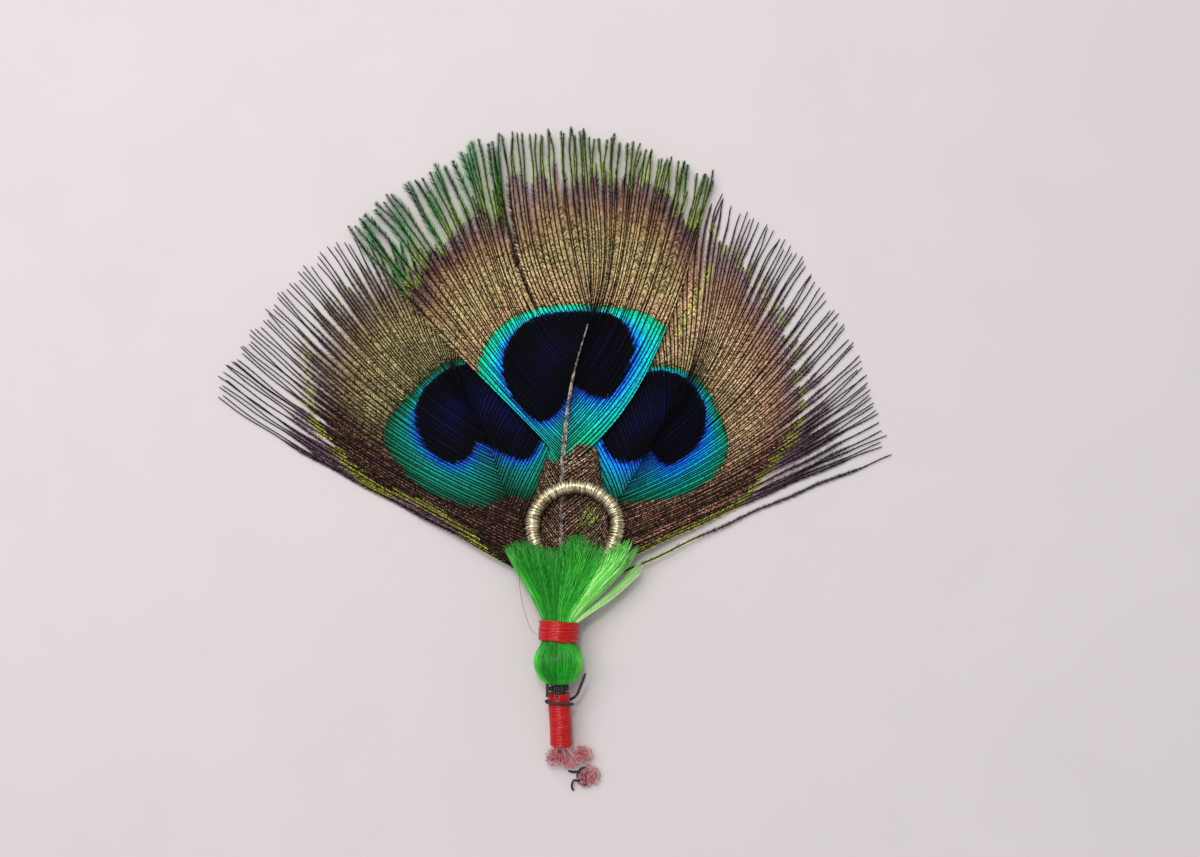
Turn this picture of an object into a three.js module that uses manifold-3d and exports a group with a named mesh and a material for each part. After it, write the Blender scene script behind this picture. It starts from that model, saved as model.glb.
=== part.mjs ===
// A peacock feather ornament: three eye feathers fanned out in a tuft of green silk, lying on its back.
// Millimetres, +Z up, +Y towards the feather tips. The origin is under the middle of its box.
import * as THREE from 'three';
import { mergeVertices } from 'three/addons/utils/BufferGeometryUtils.js';
import Module from 'manifold-3d';

// ---------- driving dimensions ----------
const HALF_SPAN = 50;          // the fan is 100 wide
const FOOT_Y = -49;            // where the end knot stops
const TOP_Y = 49;              // the highest feather tips

const VANE = 0.6;              // thickness of a vane with its barbules
const LAYER = 1;               // from the side feathers up to the centre one
const SHAFT_RADIUS = 0.36;
const SHAFT_ABOVE = SHAFT_RADIUS - VANE / 2 + 0.01;   // keeps a shaft from reaching below its vane
const BUNDLE_RADIUS = 0.56;    // from the middle of the bundle to each shaft
const CLEARANCE = 0.25;        // between pieces that touch
const CORD_RADIUS = 0.95;      // of the gold loop
const THREAD_RADIUS = 0.22;    // of the black thread

const AXIS_X = 1.1;            // the tuft and the stem stand a little right of the middle
const BULB_RADIUS = 3.45;
const NECK_RADIUS = 2.3;
const BULB_Y = -31.6;
const BULB_END_Y = -34.4;
const NECK_Y = -27.4;
const NECK_TOP_Y = -25.6;
const MOUTH_Y = -15.7;
const MOUTH_X = 2.3;
const MOUTH_HALF_WIDTH = 9.35;
const MOUTH_HALF_HEIGHT = 3.3;
const MOUTH_LIFT = 1.5;        // how far the mouth of the tuft holds the vanes off the surface
const LIFT_INNER = 9;          // the vanes come down between these two distances from the mouth
const LIFT_OUTER = 27;

const BORE_RADIUS = BUNDLE_RADIUS + SHAFT_RADIUS + CLEARANCE;
const VANE_BASE_Y = MOUTH_Y + 0.5;
const SIDE_Z = VANE / 2;
const CENTRE_Z = SIDE_Z + LAYER;

// ---------- helpers ----------
const { smoothstep, lerp } = THREE.MathUtils;

function material(colour, roughness, metalness = 0) {
  return new THREE.MeshStandardMaterial({ color: colour, roughness, metalness });
}

function named(name, geometry, look) {
  const mesh = new THREE.Mesh(geometry, look);
  mesh.name = name;
  return mesh;
}

// Only the places of the vertices, with those that meet merged.
function welded(geometry) {
  geometry.deleteAttribute('normal');
  geometry.deleteAttribute('uv');
  return mergeVertices(geometry, 1e-4);
}

const wasm = await Module();
wasm.setup();

function solidOf(geometry) {
  const closed = welded(geometry);
  return new wasm.Manifold(new wasm.Mesh({
    numProp: 3,
    vertProperties: new Float32Array(closed.attributes.position.array),
    triVerts: new Uint32Array(closed.index.array),
  }));
}

function geometryOf(solid) {
  const mesh = solid.getMesh();
  const geometry = new THREE.BufferGeometry();
  geometry.setAttribute('position', new THREE.BufferAttribute(mesh.vertProperties, 3));
  geometry.setIndex(new THREE.BufferAttribute(mesh.triVerts, 1));
  return geometry;
}

function circle(radius, sides) {
  const points = [];
  for (let i = 0; i < sides; i += 1) {
    const turn = (2 * Math.PI * i) / sides;
    points.push(new THREE.Vector2(radius * Math.cos(turn), radius * Math.sin(turn)));
  }
  return points;
}

// A round bar along a curve, or a pipe if it has a bore.
function bar(curve, radius, sides, steps, bore = 0) {
  const section = new THREE.Shape(circle(radius, sides));
  if (bore > 0) {
    section.holes.push(new THREE.Path(circle(bore, sides)));
  }
  return new THREE.ExtrudeGeometry(section, { steps, bevelEnabled: false, extrudePath: curve });
}

// A closed surface from a grid of points that closes on itself both ways, as a ring does.
function ringSurface(rows) {
  const across = rows[0].length;
  const position = rows.flat().flatMap((point) => point.toArray());
  const index = [];
  for (let i = 0; i < rows.length; i += 1) {
    for (let j = 0; j < across; j += 1) {
      const a = i * across + j;
      const b = i * across + ((j + 1) % across);
      const c = ((i + 1) % rows.length) * across + j;
      const d = ((i + 1) % rows.length) * across + ((j + 1) % across);
      index.push(a, b, c, b, d, c);
    }
  }
  const geometry = new THREE.BufferGeometry();
  geometry.setAttribute('position', new THREE.Float32BufferAttribute(position, 3));
  geometry.setIndex(index);
  return geometry;
}

// ---------- heights ----------
// How high the tuft holds a vane's middle at x, y above where it would lie flat.
function lift(x, y) {
  const away = Math.hypot(x - MOUTH_X, y - MOUTH_Y);
  return MOUTH_LIFT * (1 - smoothstep(away, LIFT_INNER, LIFT_OUTER));
}

const sideHeight = (x, y) => SIDE_Z + lift(x, y);
const centreHeight = (x, y) => CENTRE_Z + lift(x, y);

// ---------- the bundle of shafts ----------
// The middle of the bundle, from the foot of the stem up to the neck of the tuft.
const STEM_FOOT = new THREE.Vector3(1.5, -42.6, 2.2);
const STEM_PATH = [
  STEM_FOOT,
  new THREE.Vector3(1.42, -40, 2.75),
  new THREE.Vector3(1.2, -37, 3.25),
  new THREE.Vector3(AXIS_X, -34.6, BULB_RADIUS),
  new THREE.Vector3(AXIS_X, BULB_Y, BULB_RADIUS),
  new THREE.Vector3(AXIS_X, NECK_Y - 1, BULB_RADIUS),
  new THREE.Vector3(AXIS_X, NECK_TOP_Y, BULB_RADIUS),
];
const SHAFT_SHORT = 0.8;       // the wrap goes on past the cut ends of the shafts

// A shaft's path: its place in the bundle, then its rachis through the vane.
function shaftCurve(angle, rachis, height) {
  const aside = BUNDLE_RADIUS * Math.cos(angle);
  const above = BUNDLE_RADIUS * Math.sin(angle);
  const points = STEM_PATH.map((point) => new THREE.Vector3(point.x + aside, point.y, point.z + above));
  points[0].lerp(points[1], SHAFT_SHORT / points[0].distanceTo(points[1]));
  for (const [x, y] of rachis) {
    points.push(new THREE.Vector3(x, y, height(x, y) + SHAFT_ABOVE));
  }
  return new THREE.CatmullRomCurve3(points, false, 'centripetal');
}

// ---------- the feathers ----------
const SHAFT_SIDES = 8;
const SHAFT_STEPS = 30;
const BARB_STEPS = 9;
const LINES_PER_PAIR = 2;      // lines across the vane between one pair of outline points and the next

// The lines that rule a vane, as the barbs do, from the rachis out to the outline and clockwise round it.
function ruledLines({ rachis, pairs, apex }) {
  const curve = new THREE.CatmullRomCurve3(rachis.map(([x, y]) => new THREE.Vector3(x, y, 0)));
  const line = (share, x, y) => ({ root: curve.getPointAt(share), tip: new THREE.Vector3(x, y, 0) });
  const left = [];
  const right = [];
  for (let i = 0; i < pairs.length; i += 1) {
    const next = pairs[Math.min(i + 1, pairs.length - 1)];
    const parts = i + 1 < pairs.length ? LINES_PER_PAIR : 1;
    for (let j = 0; j < parts; j += 1) {
      const between = pairs[i].map((value, k) => lerp(value, next[k], j / parts));
      const [share, leftX, leftY, rightX, rightY] = between;
      left.push(line(share, leftX, leftY));
      right.unshift(line(share, rightX, rightY));
    }
  }
  return [...left, ...apex.map(([x, y]) => line(1, x, y)), ...right];
}

// The vane is a thin plate. Its two sides meet along the rachis.
function vane(shape) {
  const lines = ruledLines(shape);
  const faces = [];
  const corner = (line, step, side) => {
    const point = line.root.clone().lerp(line.tip, step / BARB_STEPS);
    return [point.x, point.y, shape.height(point.x, point.y) + (side * VANE) / 2];
  };
  const quad = (a, b, c, d) => faces.push(...a, ...b, ...c, ...a, ...c, ...d);
  for (let i = 0; i + 1 < lines.length; i += 1) {
    const [one, two] = [lines[i], lines[i + 1]];
    for (let j = 0; j < BARB_STEPS; j += 1) {
      quad(corner(one, j, 1), corner(two, j, 1), corner(two, j + 1, 1), corner(one, j + 1, 1));
      quad(corner(one, j, -1), corner(one, j + 1, -1), corner(two, j + 1, -1), corner(two, j, -1));
    }
    const rim = [corner(one, BARB_STEPS, 1), corner(two, BARB_STEPS, 1)];
    quad(...rim, corner(two, BARB_STEPS, -1), corner(one, BARB_STEPS, -1));
  }
  const first = lines[0];
  const last = lines[lines.length - 1];
  for (let j = 0; j < BARB_STEPS; j += 1) {
    quad(corner(first, j, 1), corner(first, j + 1, 1), corner(first, j + 1, -1), corner(first, j, -1));
    quad(corner(last, j, 1), corner(last, j, -1), corner(last, j + 1, -1), corner(last, j + 1, 1));
  }
  return withoutSlivers(faces);
}

// Drops the triangles that have no area, which the lines make where they share a root.
function withoutSlivers(faces) {
  const geometry = new THREE.BufferGeometry();
  geometry.setAttribute('position', new THREE.Float32BufferAttribute(faces, 3));
  const joined = mergeVertices(geometry, 1e-4);
  const index = [];
  for (let i = 0; i < joined.index.count; i += 3) {
    const [a, b, c] = [0, 1, 2].map((k) => joined.index.getX(i + k));
    if (a !== b && b !== c && c !== a) {
      index.push(a, b, c);
    }
  }
  joined.setIndex(index);
  return joined;
}

function feather(name, shape) {
  const plate = solidOf(vane(shape));
  const curve = shaftCurve(shape.angle, shape.rachis, shape.height);
  const shaft = solidOf(bar(curve, SHAFT_RADIUS, SHAFT_SIDES, SHAFT_STEPS));
  return named(name, geometryOf(plate.add(shaft)), material(0x6f6132, 0.55));
}

// Each pair is a share of the rachis and where the lines from there end, on the left and on the right.
// The apex holds the ends of the lines from the tip of the rachis.
const LEFT = {
  angle: (7 * Math.PI) / 6,
  height: sideHeight,
  rachis: [[-2.6, VANE_BASE_Y], [-6.6, -8], [-9.1, -1.5], [-11.4, 3.5], [-14, 9]],
  pairs: [
    [0, -8, VANE_BASE_Y, 0.6, VANE_BASE_Y], [0.03, -16.2, -11.7, 0.6, -12], [0.06, -25, -7.4, 0.6, -8],
    [0.12, -39.9, 0.3, 0.6, 0], [0.2, -HALF_SPAN, 6.6, 0.6, 8], [0.5, -48.6, 12.3, 0.6, 15],
    [0.75, -45.4, 17.4, 0.6, 22], [1, -40.5, 23.7, -8, 27],
  ],
  apex: [[-34, 30.8], [-24, 31], [-16, 29.5]],
};

const RIGHT = {
  angle: -Math.PI / 6,
  height: sideHeight,
  rachis: [[5.4, VANE_BASE_Y], [10, -7.8], [12.3, -4.1], [15.2, 1], [18.4, 6.5]],
  pairs: [
    [0, 1.6, VANE_BASE_Y, 12.6, VANE_BASE_Y], [0.03, 1.6, -12, 20.2, -14.2], [0.06, 1.6, -8, 33.8, -8.2],
    [0.12, 1.6, 0, HALF_SPAN, -2], [0.4, 1.6, 8, 46.9, 3.5], [0.6, 1.6, 15, 44.5, 13],
    [0.8, 1.6, 22, 41, 21.5], [1, 8, 28, 35.5, 29.3],
  ],
  apex: [[15, 33], [20, 37.5], [24.6, 41.4], [31.6, 34]],
};

const CENTRE = {
  angle: Math.PI / 2,
  height: centreHeight,
  rachis: [[1.3, VANE_BASE_Y], [1.4, -4.5], [2.1, 4], [3, 10], [5.2, 17.3]],
  pairs: [
    [0, -3, VANE_BASE_Y, 7.6, VANE_BASE_Y], [0.1, -2.6, -8.4, 9.2, -8.8], [0.32, -0.6, -0.8, 6.8, -0.4],
    [0.36, -10.8, 9.6, 13.6, 8], [0.42, -25.5, 24.5, 18.4, 20.5], [0.5, -31.4, 32.4, 24.3, 30.5],
    [0.7, -22, 40.4, 24.6, 41.5], [0.9, -12.5, 46, 17.1, 44], [1, -3.2, 48.6, 9.4, 47.6],
  ],
  apex: [[3, TOP_Y]],
};

// ---------- the silk tuft ----------
const TUFT_SIDES = 28;
const MOUTH_SQUARENESS = 3;    // 2 is an ellipse

// One ring of the tuft at y: an ellipse at the neck that gets squarer towards the mouth.
function tuftRing(y, halfHeight, halfWidth) {
  const open = smoothstep(y, NECK_TOP_Y, MOUTH_Y);
  const power = lerp(2, MOUTH_SQUARENESS, open);
  const middle = lerp(AXIS_X, MOUTH_X, open);
  return circle(1, TUFT_SIDES).map(({ x, y: up }) => {
    const reach = (Math.abs(x) ** power + Math.abs(up) ** power) ** (-1 / power);
    return new THREE.Vector3(middle + halfWidth * reach * x, y, BULB_RADIUS + halfHeight * reach * up);
  });
}

// The skein is hollow along its middle, where the shafts run. Each station is [y, half height, half width].
function silkTuft() {
  const cavityHeight = MOUTH_HALF_HEIGHT - 0.5;
  const cavityWidth = MOUTH_HALF_WIDTH - 0.7;
  const outside = [
    [MOUTH_Y, MOUTH_HALF_HEIGHT, MOUTH_HALF_WIDTH], [-18.5, 3.2, 7.4], [-22.5, 2.75, 4.2],
    [NECK_TOP_Y, NECK_RADIUS, NECK_RADIUS], [-29.1, NECK_RADIUS, NECK_RADIUS], [-29.7, 2.95, 2.95],
    [-30.6, 3.35, 3.35], [BULB_Y, BULB_RADIUS, BULB_RADIUS], [-32.6, 3.25, 3.25], [-33.5, 2.75, 2.75],
    [BULB_END_Y, 1.9, 1.9],
  ];
  const inside = [
    [BULB_END_Y, BORE_RADIUS, BORE_RADIUS], [-25, BORE_RADIUS, BORE_RADIUS], [-22, 2, 2.9],
    [-18.5, cavityHeight - 0.2, 6.6], [MOUTH_Y, cavityHeight, cavityWidth],
  ];
  const rows = [...outside, ...inside].map((station) => tuftRing(...station));
  return named('silk_tuft', ringSurface(rows), material(0x1f9a2c, 0.5));
}

// ---------- the thread ----------
const WINDING_SIDES = 28;
const RED = 0xc41414;
const BLACK = 0x111111;

// A winding is a short pipe round the stem or the neck. Its profile closes on itself.
function winding(length, radius, bore, crown) {
  const half = length / 2;
  const profile = [
    [bore, -half], [radius - crown, -half], [radius, -half / 2],
    [radius, half / 2], [radius - crown, half], [bore, half], [bore, -half],
  ];
  const points = profile.map(([away, up]) => new THREE.Vector2(away, up));
  return welded(new THREE.LatheGeometry(points, WINDING_SIDES));
}

function neckBand() {
  const length = 2.9;
  const radius = 2.9;
  const crown = 0.15;
  const slant = -0.06;
  const pipe = winding(length, radius, NECK_RADIUS + CLEARANCE, crown);
  const mesh = named('neck_band', pipe, material(RED, 0.4));
  mesh.position.set(AXIS_X, NECK_Y, BULB_RADIUS);
  mesh.rotation.z = slant;
  return mesh;
}

const STEM_RADIUS = 1.55;
const STEM_TOP_Y = -35.7;
const STEM_SIDES = 20;
const STEM_STEPS = 6;

function bulbTie() {
  const length = 0.8;
  const crown = 0.05;
  const mesh = named('bulb_tie', winding(length, STEM_RADIUS, BORE_RADIUS, crown), material(BLACK, 0.6));
  mesh.position.set(AXIS_X + 0.03, BULB_END_Y - CLEARANCE - length / 2, BULB_RADIUS - 0.02);
  return mesh;
}

// The middle of the stem below the tuft.
function stemCurve() {
  const [foot, low, below, above] = STEM_PATH;
  const top = below.clone().lerp(above, (STEM_TOP_Y - below.y) / (above.y - below.y));
  return new THREE.CatmullRomCurve3([foot, low, below, top], false, 'centripetal');
}

function stemWrap() {
  const pipe = bar(stemCurve(), STEM_RADIUS, STEM_SIDES, STEM_STEPS, BORE_RADIUS);
  return named('stem_wrap', welded(pipe), material(RED, 0.4));
}

const THREAD_SIDES = 6;

// Black thread that goes once round the stem, with a tail that stands off to the right.
const TIE_MIDDLE = new THREE.Vector3(1.22, -37.2, 3.27);
const TIE_START = -20;         // degrees round the stem
const TIE_END = 350;
const TIE_EVERY = 20;
const TIE_RISE = 0.75;         // up the stem between the start and the end
const TIE_TAIL = [[3.9, -35.4, 3.4], [4.6, -33.9, 4.2], [4.8, -33, 4.6]];
const TIE_STEPS = 44;

function stemTie() {
  const turnRadius = STEM_RADIUS + THREAD_RADIUS + CLEARANCE;
  const points = [];
  for (let degrees = TIE_START; degrees <= TIE_END; degrees += TIE_EVERY) {
    const turn = THREE.MathUtils.degToRad(degrees);
    const rise = (TIE_RISE * (degrees - TIE_START)) / (TIE_END - TIE_START);
    const round = new THREE.Vector3(Math.cos(turn), 0, Math.sin(turn)).multiplyScalar(turnRadius);
    points.push(round.add(TIE_MIDDLE).setY(TIE_MIDDLE.y + rise));
  }
  points.push(...TIE_TAIL.map((place) => new THREE.Vector3(...place)));
  const curve = new THREE.CatmullRomCurve3(points, false, 'centripetal');
  const thread = welded(bar(curve, THREAD_RADIUS, THREAD_SIDES, TIE_STEPS));
  return named('stem_tie', thread, material(BLACK, 0.6));
}

// The red ends spread from the foot of the stem down to the surface.
function threadEnds() {
  const [halfWidth, halfLength, halfHeight] = [3, 1.35, 1.3];
  const slope = 0.25;
  const geometry = new THREE.SphereGeometry(1, 16, 10);
  geometry.scale(halfWidth, halfLength, halfHeight);
  geometry.rotateX(slope);
  const mesh = named('thread_ends', welded(geometry), material(0xb3202a, 0.8));
  mesh.position.set(2.6, -44.6, 1.45);
  return mesh;
}

// A small overhand knot, which is a trefoil opened at one lobe, with its two ends led away.
const KNOT_THREAD_RADIUS = 0.2;
const KNOT_SIZE = 0.42;
const KNOT_MIDDLE = [4.1, -46.95, 0.68];
const KNOT_OVER = 0.46;        // how far the thread goes over and under itself
const KNOT_OPENING = 0.45;     // radians left out at each side of the open lobe
const KNOT_TAIL = [[3.1, FOOT_Y + 0.07, KNOT_THREAD_RADIUS], [2.9, -48.2, 0.45]];
const KNOT_HEAD = [2.4, -46.25, 0.7];
const KNOT_POINTS = 24;
const KNOT_STEPS = 52;

function endKnot() {
  const [middleX, middleY, middleZ] = KNOT_MIDDLE;
  const start = Math.PI + KNOT_OPENING;
  const sweep = 2 * (Math.PI - KNOT_OPENING);
  const points = KNOT_TAIL.map((place) => new THREE.Vector3(...place));
  for (let i = 0; i <= KNOT_POINTS; i += 1) {
    const t = start + (i * sweep) / KNOT_POINTS;
    points.push(new THREE.Vector3(
      middleX + KNOT_SIZE * (Math.cos(t) - 2 * Math.cos(2 * t)),
      middleY - KNOT_SIZE * (Math.sin(t) + 2 * Math.sin(2 * t)),
      middleZ - KNOT_OVER * Math.sin(3 * t),
    ));
  }
  points.push(new THREE.Vector3(...KNOT_HEAD));
  const curve = new THREE.CatmullRomCurve3(points, false, 'centripetal');
  const thread = welded(bar(curve, KNOT_THREAD_RADIUS, THREAD_SIDES, KNOT_STEPS));
  return named('end_knot', thread, material(BLACK, 0.6));
}

// ---------- the gold loop ----------
// An arch on the front of the fan, with its two legs drawn in where they enter the tuft.
const LOOP_MIDDLE = [3.3, -12.8];
const LOOP_HALF_WIDTH = 6;
const LOOP_HEIGHT = 5.5;
const LOOP_LEFT_LEG = [[-1.3, -17.2], [-2.2, -15.2]];
const LOOP_RIGHT_LEG = [[8.6, -15.4], [7.4, -17.2]];
const LOOP_EVERY = 20;         // degrees
const LOOP_SIDES = 10;
const LOOP_STEPS = 40;

function goldLoop() {
  const arch = [];
  for (let degrees = 180; degrees >= 0; degrees -= LOOP_EVERY) {
    const turn = THREE.MathUtils.degToRad(degrees);
    const x = LOOP_MIDDLE[0] + LOOP_HALF_WIDTH * Math.cos(turn);
    arch.push([x, LOOP_MIDDLE[1] + LOOP_HEIGHT * Math.sin(turn)]);
  }
  const above = VANE / 2 + CLEARANCE + CORD_RADIUS;
  const path = [...LOOP_LEFT_LEG, ...arch, ...LOOP_RIGHT_LEG];
  const points = path.map(([x, y]) => new THREE.Vector3(x, y, centreHeight(x, y) + above));
  const curve = new THREE.CatmullRomCurve3(points, false, 'centripetal');
  const cord = welded(bar(curve, CORD_RADIUS, LOOP_SIDES, LOOP_STEPS));
  return named('gold_loop', cord, material(0xcdb677, 0.35, 0.9));
}

const part = new THREE.Group();
part.add(feather('centre_feather', CENTRE));
part.add(feather('left_feather', LEFT));
part.add(feather('right_feather', RIGHT));
part.add(silkTuft());
part.add(goldLoop());
part.add(neckBand());
part.add(bulbTie());
part.add(stemWrap());
part.add(stemTie());
part.add(threadEnds());
part.add(endKnot());

export default part;
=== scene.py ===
"""The peacock feather ornament: three eye feathers, a green silk tuft, thread bindings and a gold loop.

Shapes are worked out in millimetres with +Z up and +Y towards the feather tips, then made in metres.
"""

import math

import bpy
import mathutils
import numpy as np
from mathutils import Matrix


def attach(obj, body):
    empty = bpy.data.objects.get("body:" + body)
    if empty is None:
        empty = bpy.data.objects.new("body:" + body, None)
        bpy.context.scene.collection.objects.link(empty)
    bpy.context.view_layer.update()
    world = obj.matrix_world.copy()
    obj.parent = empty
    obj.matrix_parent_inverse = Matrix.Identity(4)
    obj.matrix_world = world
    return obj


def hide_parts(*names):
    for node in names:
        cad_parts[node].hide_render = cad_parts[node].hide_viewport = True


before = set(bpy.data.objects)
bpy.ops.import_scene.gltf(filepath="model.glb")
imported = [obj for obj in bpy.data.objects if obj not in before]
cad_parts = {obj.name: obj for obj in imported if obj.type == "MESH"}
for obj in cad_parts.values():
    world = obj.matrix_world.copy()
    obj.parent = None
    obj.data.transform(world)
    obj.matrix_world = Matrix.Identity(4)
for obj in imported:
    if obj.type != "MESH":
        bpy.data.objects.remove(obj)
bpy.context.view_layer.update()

MM = 0.001
SEED = 7

# ---------- camera and floor ----------
VIEW_CENTRE = (6.80, 1.86)         # the point of the floor in the middle of the picture
VIEW_DISTANCE = 152.8
VIEW_TILT = math.radians(10.6)     # from straight down
LENS = 31.2
SENSOR = 36.0
FLOOR_COLOUR = (0.83, 0.80, 0.80)

# ---------- the object, as in the CAD ----------
SIDE_Z = 0.3                       # the middle of a side feather's vane, lying flat
CENTRE_Z = 1.3
MOUTH = (2.3, -15.7)               # the middle of the tuft's mouth
MOUTH_LIFT = 1.5
LIFT_RANGE = (9.0, 27.0)           # how far from the mouth the lift begins to fade and is gone
AXIS_X = 1.1                       # the middle of the neck and the bulb
AXIS_Z = 3.45
NECK_Y = -27.4
BUNDLE_RADIUS = 0.56               # from the middle of the stem to the middle of each shaft
STEM_PATH = [
    (1.5, -42.6, 2.2), (1.42, -40, 2.75), (1.2, -37, 3.25), (AXIS_X, -34.6, AXIS_Z),
    (AXIS_X, -31.6, AXIS_Z), (AXIS_X, -28.4, AXIS_Z), (AXIS_X, -25.6, AXIS_Z),
]

# ---------- feather barbs ----------
BARB_STEPS = 36
BARBULE_PITCH = 0.2                # along a barb
BARBULE_LEAN = 46                  # degrees, from the barb
LOOSE_LEAN = 12                    # how much less it is where the barbules stand free
RAMUS_RADIUS = (0.11, 0.075)       # at the root and at the tip
RAMUS_RISE = 0.05                  # the ramus stands this far above its barbules
WEB_DROP = 0.09                    # the edge of the web lies this far below them
WEB_STEP = 2                       # the web has every second step of its barb
HEART_DEPTH = 6.0                  # from the heart's edge to where its colour no longer changes
RIM_REACH = 12.0                   # and from the edge of the bronze
SPLIT_WIDTH = (0.3, 1.3)           # of the dark split, within the bronze and at the rim
RING_NARROW = (0.8, 3.0)           # where the ring is as narrow as this, it lacks its blue inner part
RING_SKIP = 0.34
FLOOR_GAP = 0.02                   # no barbule is lower than this
BARB_STRIP = 0.02                  # where the barbs begin on the baking map, after the shaft
SHAFT_STRIP = 0.016
SHAFT_SIDES = 8
STEM_SHAFT = 0.34                  # the radius of a shaft within the stem and the tuft
VANE_FOOT_Y = -16.0                # where a shaft comes out of the tuft


# ================= helpers: numbers and curves =================
def smooth(value, low, high):
    """0 below low, 1 above high and a soft step between."""
    t = np.clip((value - low) / (high - low), 0, 1)
    return t * t * (3 - 2 * t)


def unit(vectors):
    """The vectors with a length of 1."""
    return vectors / np.maximum(np.linalg.norm(vectors, axis=-1, keepdims=True), 1e-12)


def heading(angle):
    """The flat direction at an angle."""
    return np.stack([np.cos(angle), np.sin(angle)], -1)


def ahead_of(paths):
    """The direction of each path at each of its points."""
    return unit(np.gradient(paths, axis=-2))


def along(path):
    """How far along the path each of its points is."""
    return np.concatenate([[0], np.cumsum(np.linalg.norm(np.diff(path, axis=0), axis=1))])


def lengths(paths):
    """How long each path is."""
    return np.linalg.norm(np.diff(paths, axis=1), axis=2).sum(1)


def at(path, gone, where):
    """The places at those distances along the path."""
    return np.stack([np.interp(where, gone, path[:, k]) for k in range(path.shape[1])], axis=1)


def evened(path, count):
    """The same line with that many points, evenly spaced."""
    gone = along(path)
    return at(path, gone, np.linspace(0, gone[-1], count))


def curve(points, spacing, closed=False):
    """A smooth line through the points, with new points about that far apart."""
    points = np.array(points, float)
    if closed:
        points = np.vstack([points[-1:], points, points[:2]])
    else:
        points = np.vstack([2 * points[0] - points[1], points, 2 * points[-1] - points[-2]])
    fine = []
    t = np.linspace(0, 1, 24, endpoint=False)[:, None]
    for p0, p1, p2, p3 in zip(points, points[1:], points[2:], points[3:]):
        fine.append(
            p1 + 0.5 * t * (p2 - p0 + t * (2 * p0 - 5 * p1 + 4 * p2 - p3 + t * (3 * (p1 - p2) + p3 - p0)))
        )
    fine = np.vstack(fine + [points[-2:-1]])
    return evened(fine, max(2, int(round(along(fine)[-1] / spacing)) + 1))


def distance_to(points, loop):
    """How far each point is outside a closed loop. Inside it is negative."""
    start, end = loop[:-1], loop[1:]
    edge = end - start
    offset = points[:, None, :] - start[None]
    share = np.clip((offset * edge).sum(-1) / (edge * edge).sum(-1), 0, 1)
    gap = np.linalg.norm(offset - share[..., None] * edge, axis=-1).min(axis=1)
    y, x = points[:, 1, None], points[:, 0, None]
    crosses = (start[:, 1] > y) != (end[:, 1] > y)
    rise = np.where(edge[:, 1] == 0, 1e-9, edge[:, 1])
    crosses &= x < start[:, 0] + (y - start[:, 1]) * edge[:, 0] / rise
    inside = crosses.sum(axis=1) % 2 == 1
    return np.where(inside, -gap, gap)


def from_mouth(flat):
    """How far each spot is from the middle of the tuft's mouth."""
    return np.hypot(flat[..., 0] - MOUTH[0], flat[..., 1] - MOUTH[1])


def lifted(flat, height):
    """The height of a vane's middle, which the mouth of the tuft holds up."""
    return height + MOUTH_LIFT * (1 - smooth(from_mouth(flat), *LIFT_RANGE))


# ================= helpers: meshes =================
class Pile:
    """Small meshes with marks on their points, which are joined into one object."""

    def __init__(self, *marks):
        self.count = 0
        self.points = []
        self.faces = []
        self.uvs = []
        self.soft = []
        self.slots = []
        self.marks = {name: [] for name in marks}

    def add(self, points, faces, uvs, soft=True, slot=0, **marks):
        """A mark is one number or has a value for each point. One that isn't given is 0."""
        self.points.append(points)
        self.faces.append(faces + self.count)
        self.uvs.append(uvs)
        self.soft.append(np.full(len(faces), soft))
        self.slots.append(np.full(len(faces), slot))
        for name, kept in self.marks.items():
            kept.append(np.broadcast_to(marks.get(name, 0.0), len(points)))
        self.count += len(points)

    def add_tubes(self, paths, radii, sides, area=(0, 0, 1, 1), row=None, **marks):
        """Tubes, where a mark is one number or has a value for each step of each tube."""
        marks = {name: per_point(value, sides) if np.ndim(value) else value for name, value in marks.items()}
        self.add(*tubes(paths, radii, sides, area, row), **marks)

    def build(self, name, materials, stands_for):
        """The object, which rides on the CAD body and stands for a node of it."""
        mesh = bpy.data.meshes.new(name)
        faces = np.vstack(self.faces)
        mesh.from_pydata((np.vstack(self.points) * MM).tolist(), [], faces.tolist())
        mesh.polygons.foreach_set("use_smooth", np.concatenate(self.soft))
        mesh.polygons.foreach_set("material_index", np.concatenate(self.slots).astype(np.int32))
        layer = mesh.uv_layers.new(name="OFBake")
        layer.data.foreach_set("uv", np.vstack(self.uvs).astype(np.float32).ravel())
        for mark, kept in self.marks.items():
            attribute = mesh.attributes.new(mark, "FLOAT", "POINT")
            attribute.data.foreach_set("value", np.concatenate(kept).astype(np.float32))
        for material in materials:
            mesh.materials.append(material)
        mesh.update()
        thing = bpy.data.objects.new(name, mesh)
        bpy.context.scene.collection.objects.link(thing)
        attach(thing, "root")
        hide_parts(stands_for)


def per_point(values, sides):
    """One value for each step of each tube, for each of its points."""
    return np.repeat(np.asarray(values, float).ravel(), sides)


def squares(count, steps, sides, closed=True):
    """The squares of that many skins, each of points in steps with so many sides.

    Returns the skin, step and side of each square, and the numbers of the points at its corners.
    """
    across = sides if closed else sides - 1
    skin, step, side = np.meshgrid(np.arange(count), np.arange(steps - 1), np.arange(across), indexing="ij")
    here = (skin * steps + step) * sides
    after = (side + 1) % sides
    corners = {"a": here + side, "b": here + sides + side, "c": here + sides + after, "d": here + after}
    return skin, step, side, corners


def triangles(corners, ways, u, v, du, dv):
    """Two triangles for each square, with its place on the baking map. A way is three of the corners."""
    places = {"a": (u, v), "b": (u + du, v), "c": (u + du, v + dv), "d": (u, v + dv)}
    faces = [np.stack([corners[k] for k in way], -1).reshape(-1, 3) for way in ways]
    uvs = [np.stack([np.stack(places[k], -1) for k in way], -2).reshape(-1, 2) for way in ways]
    return faces, uvs


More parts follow.
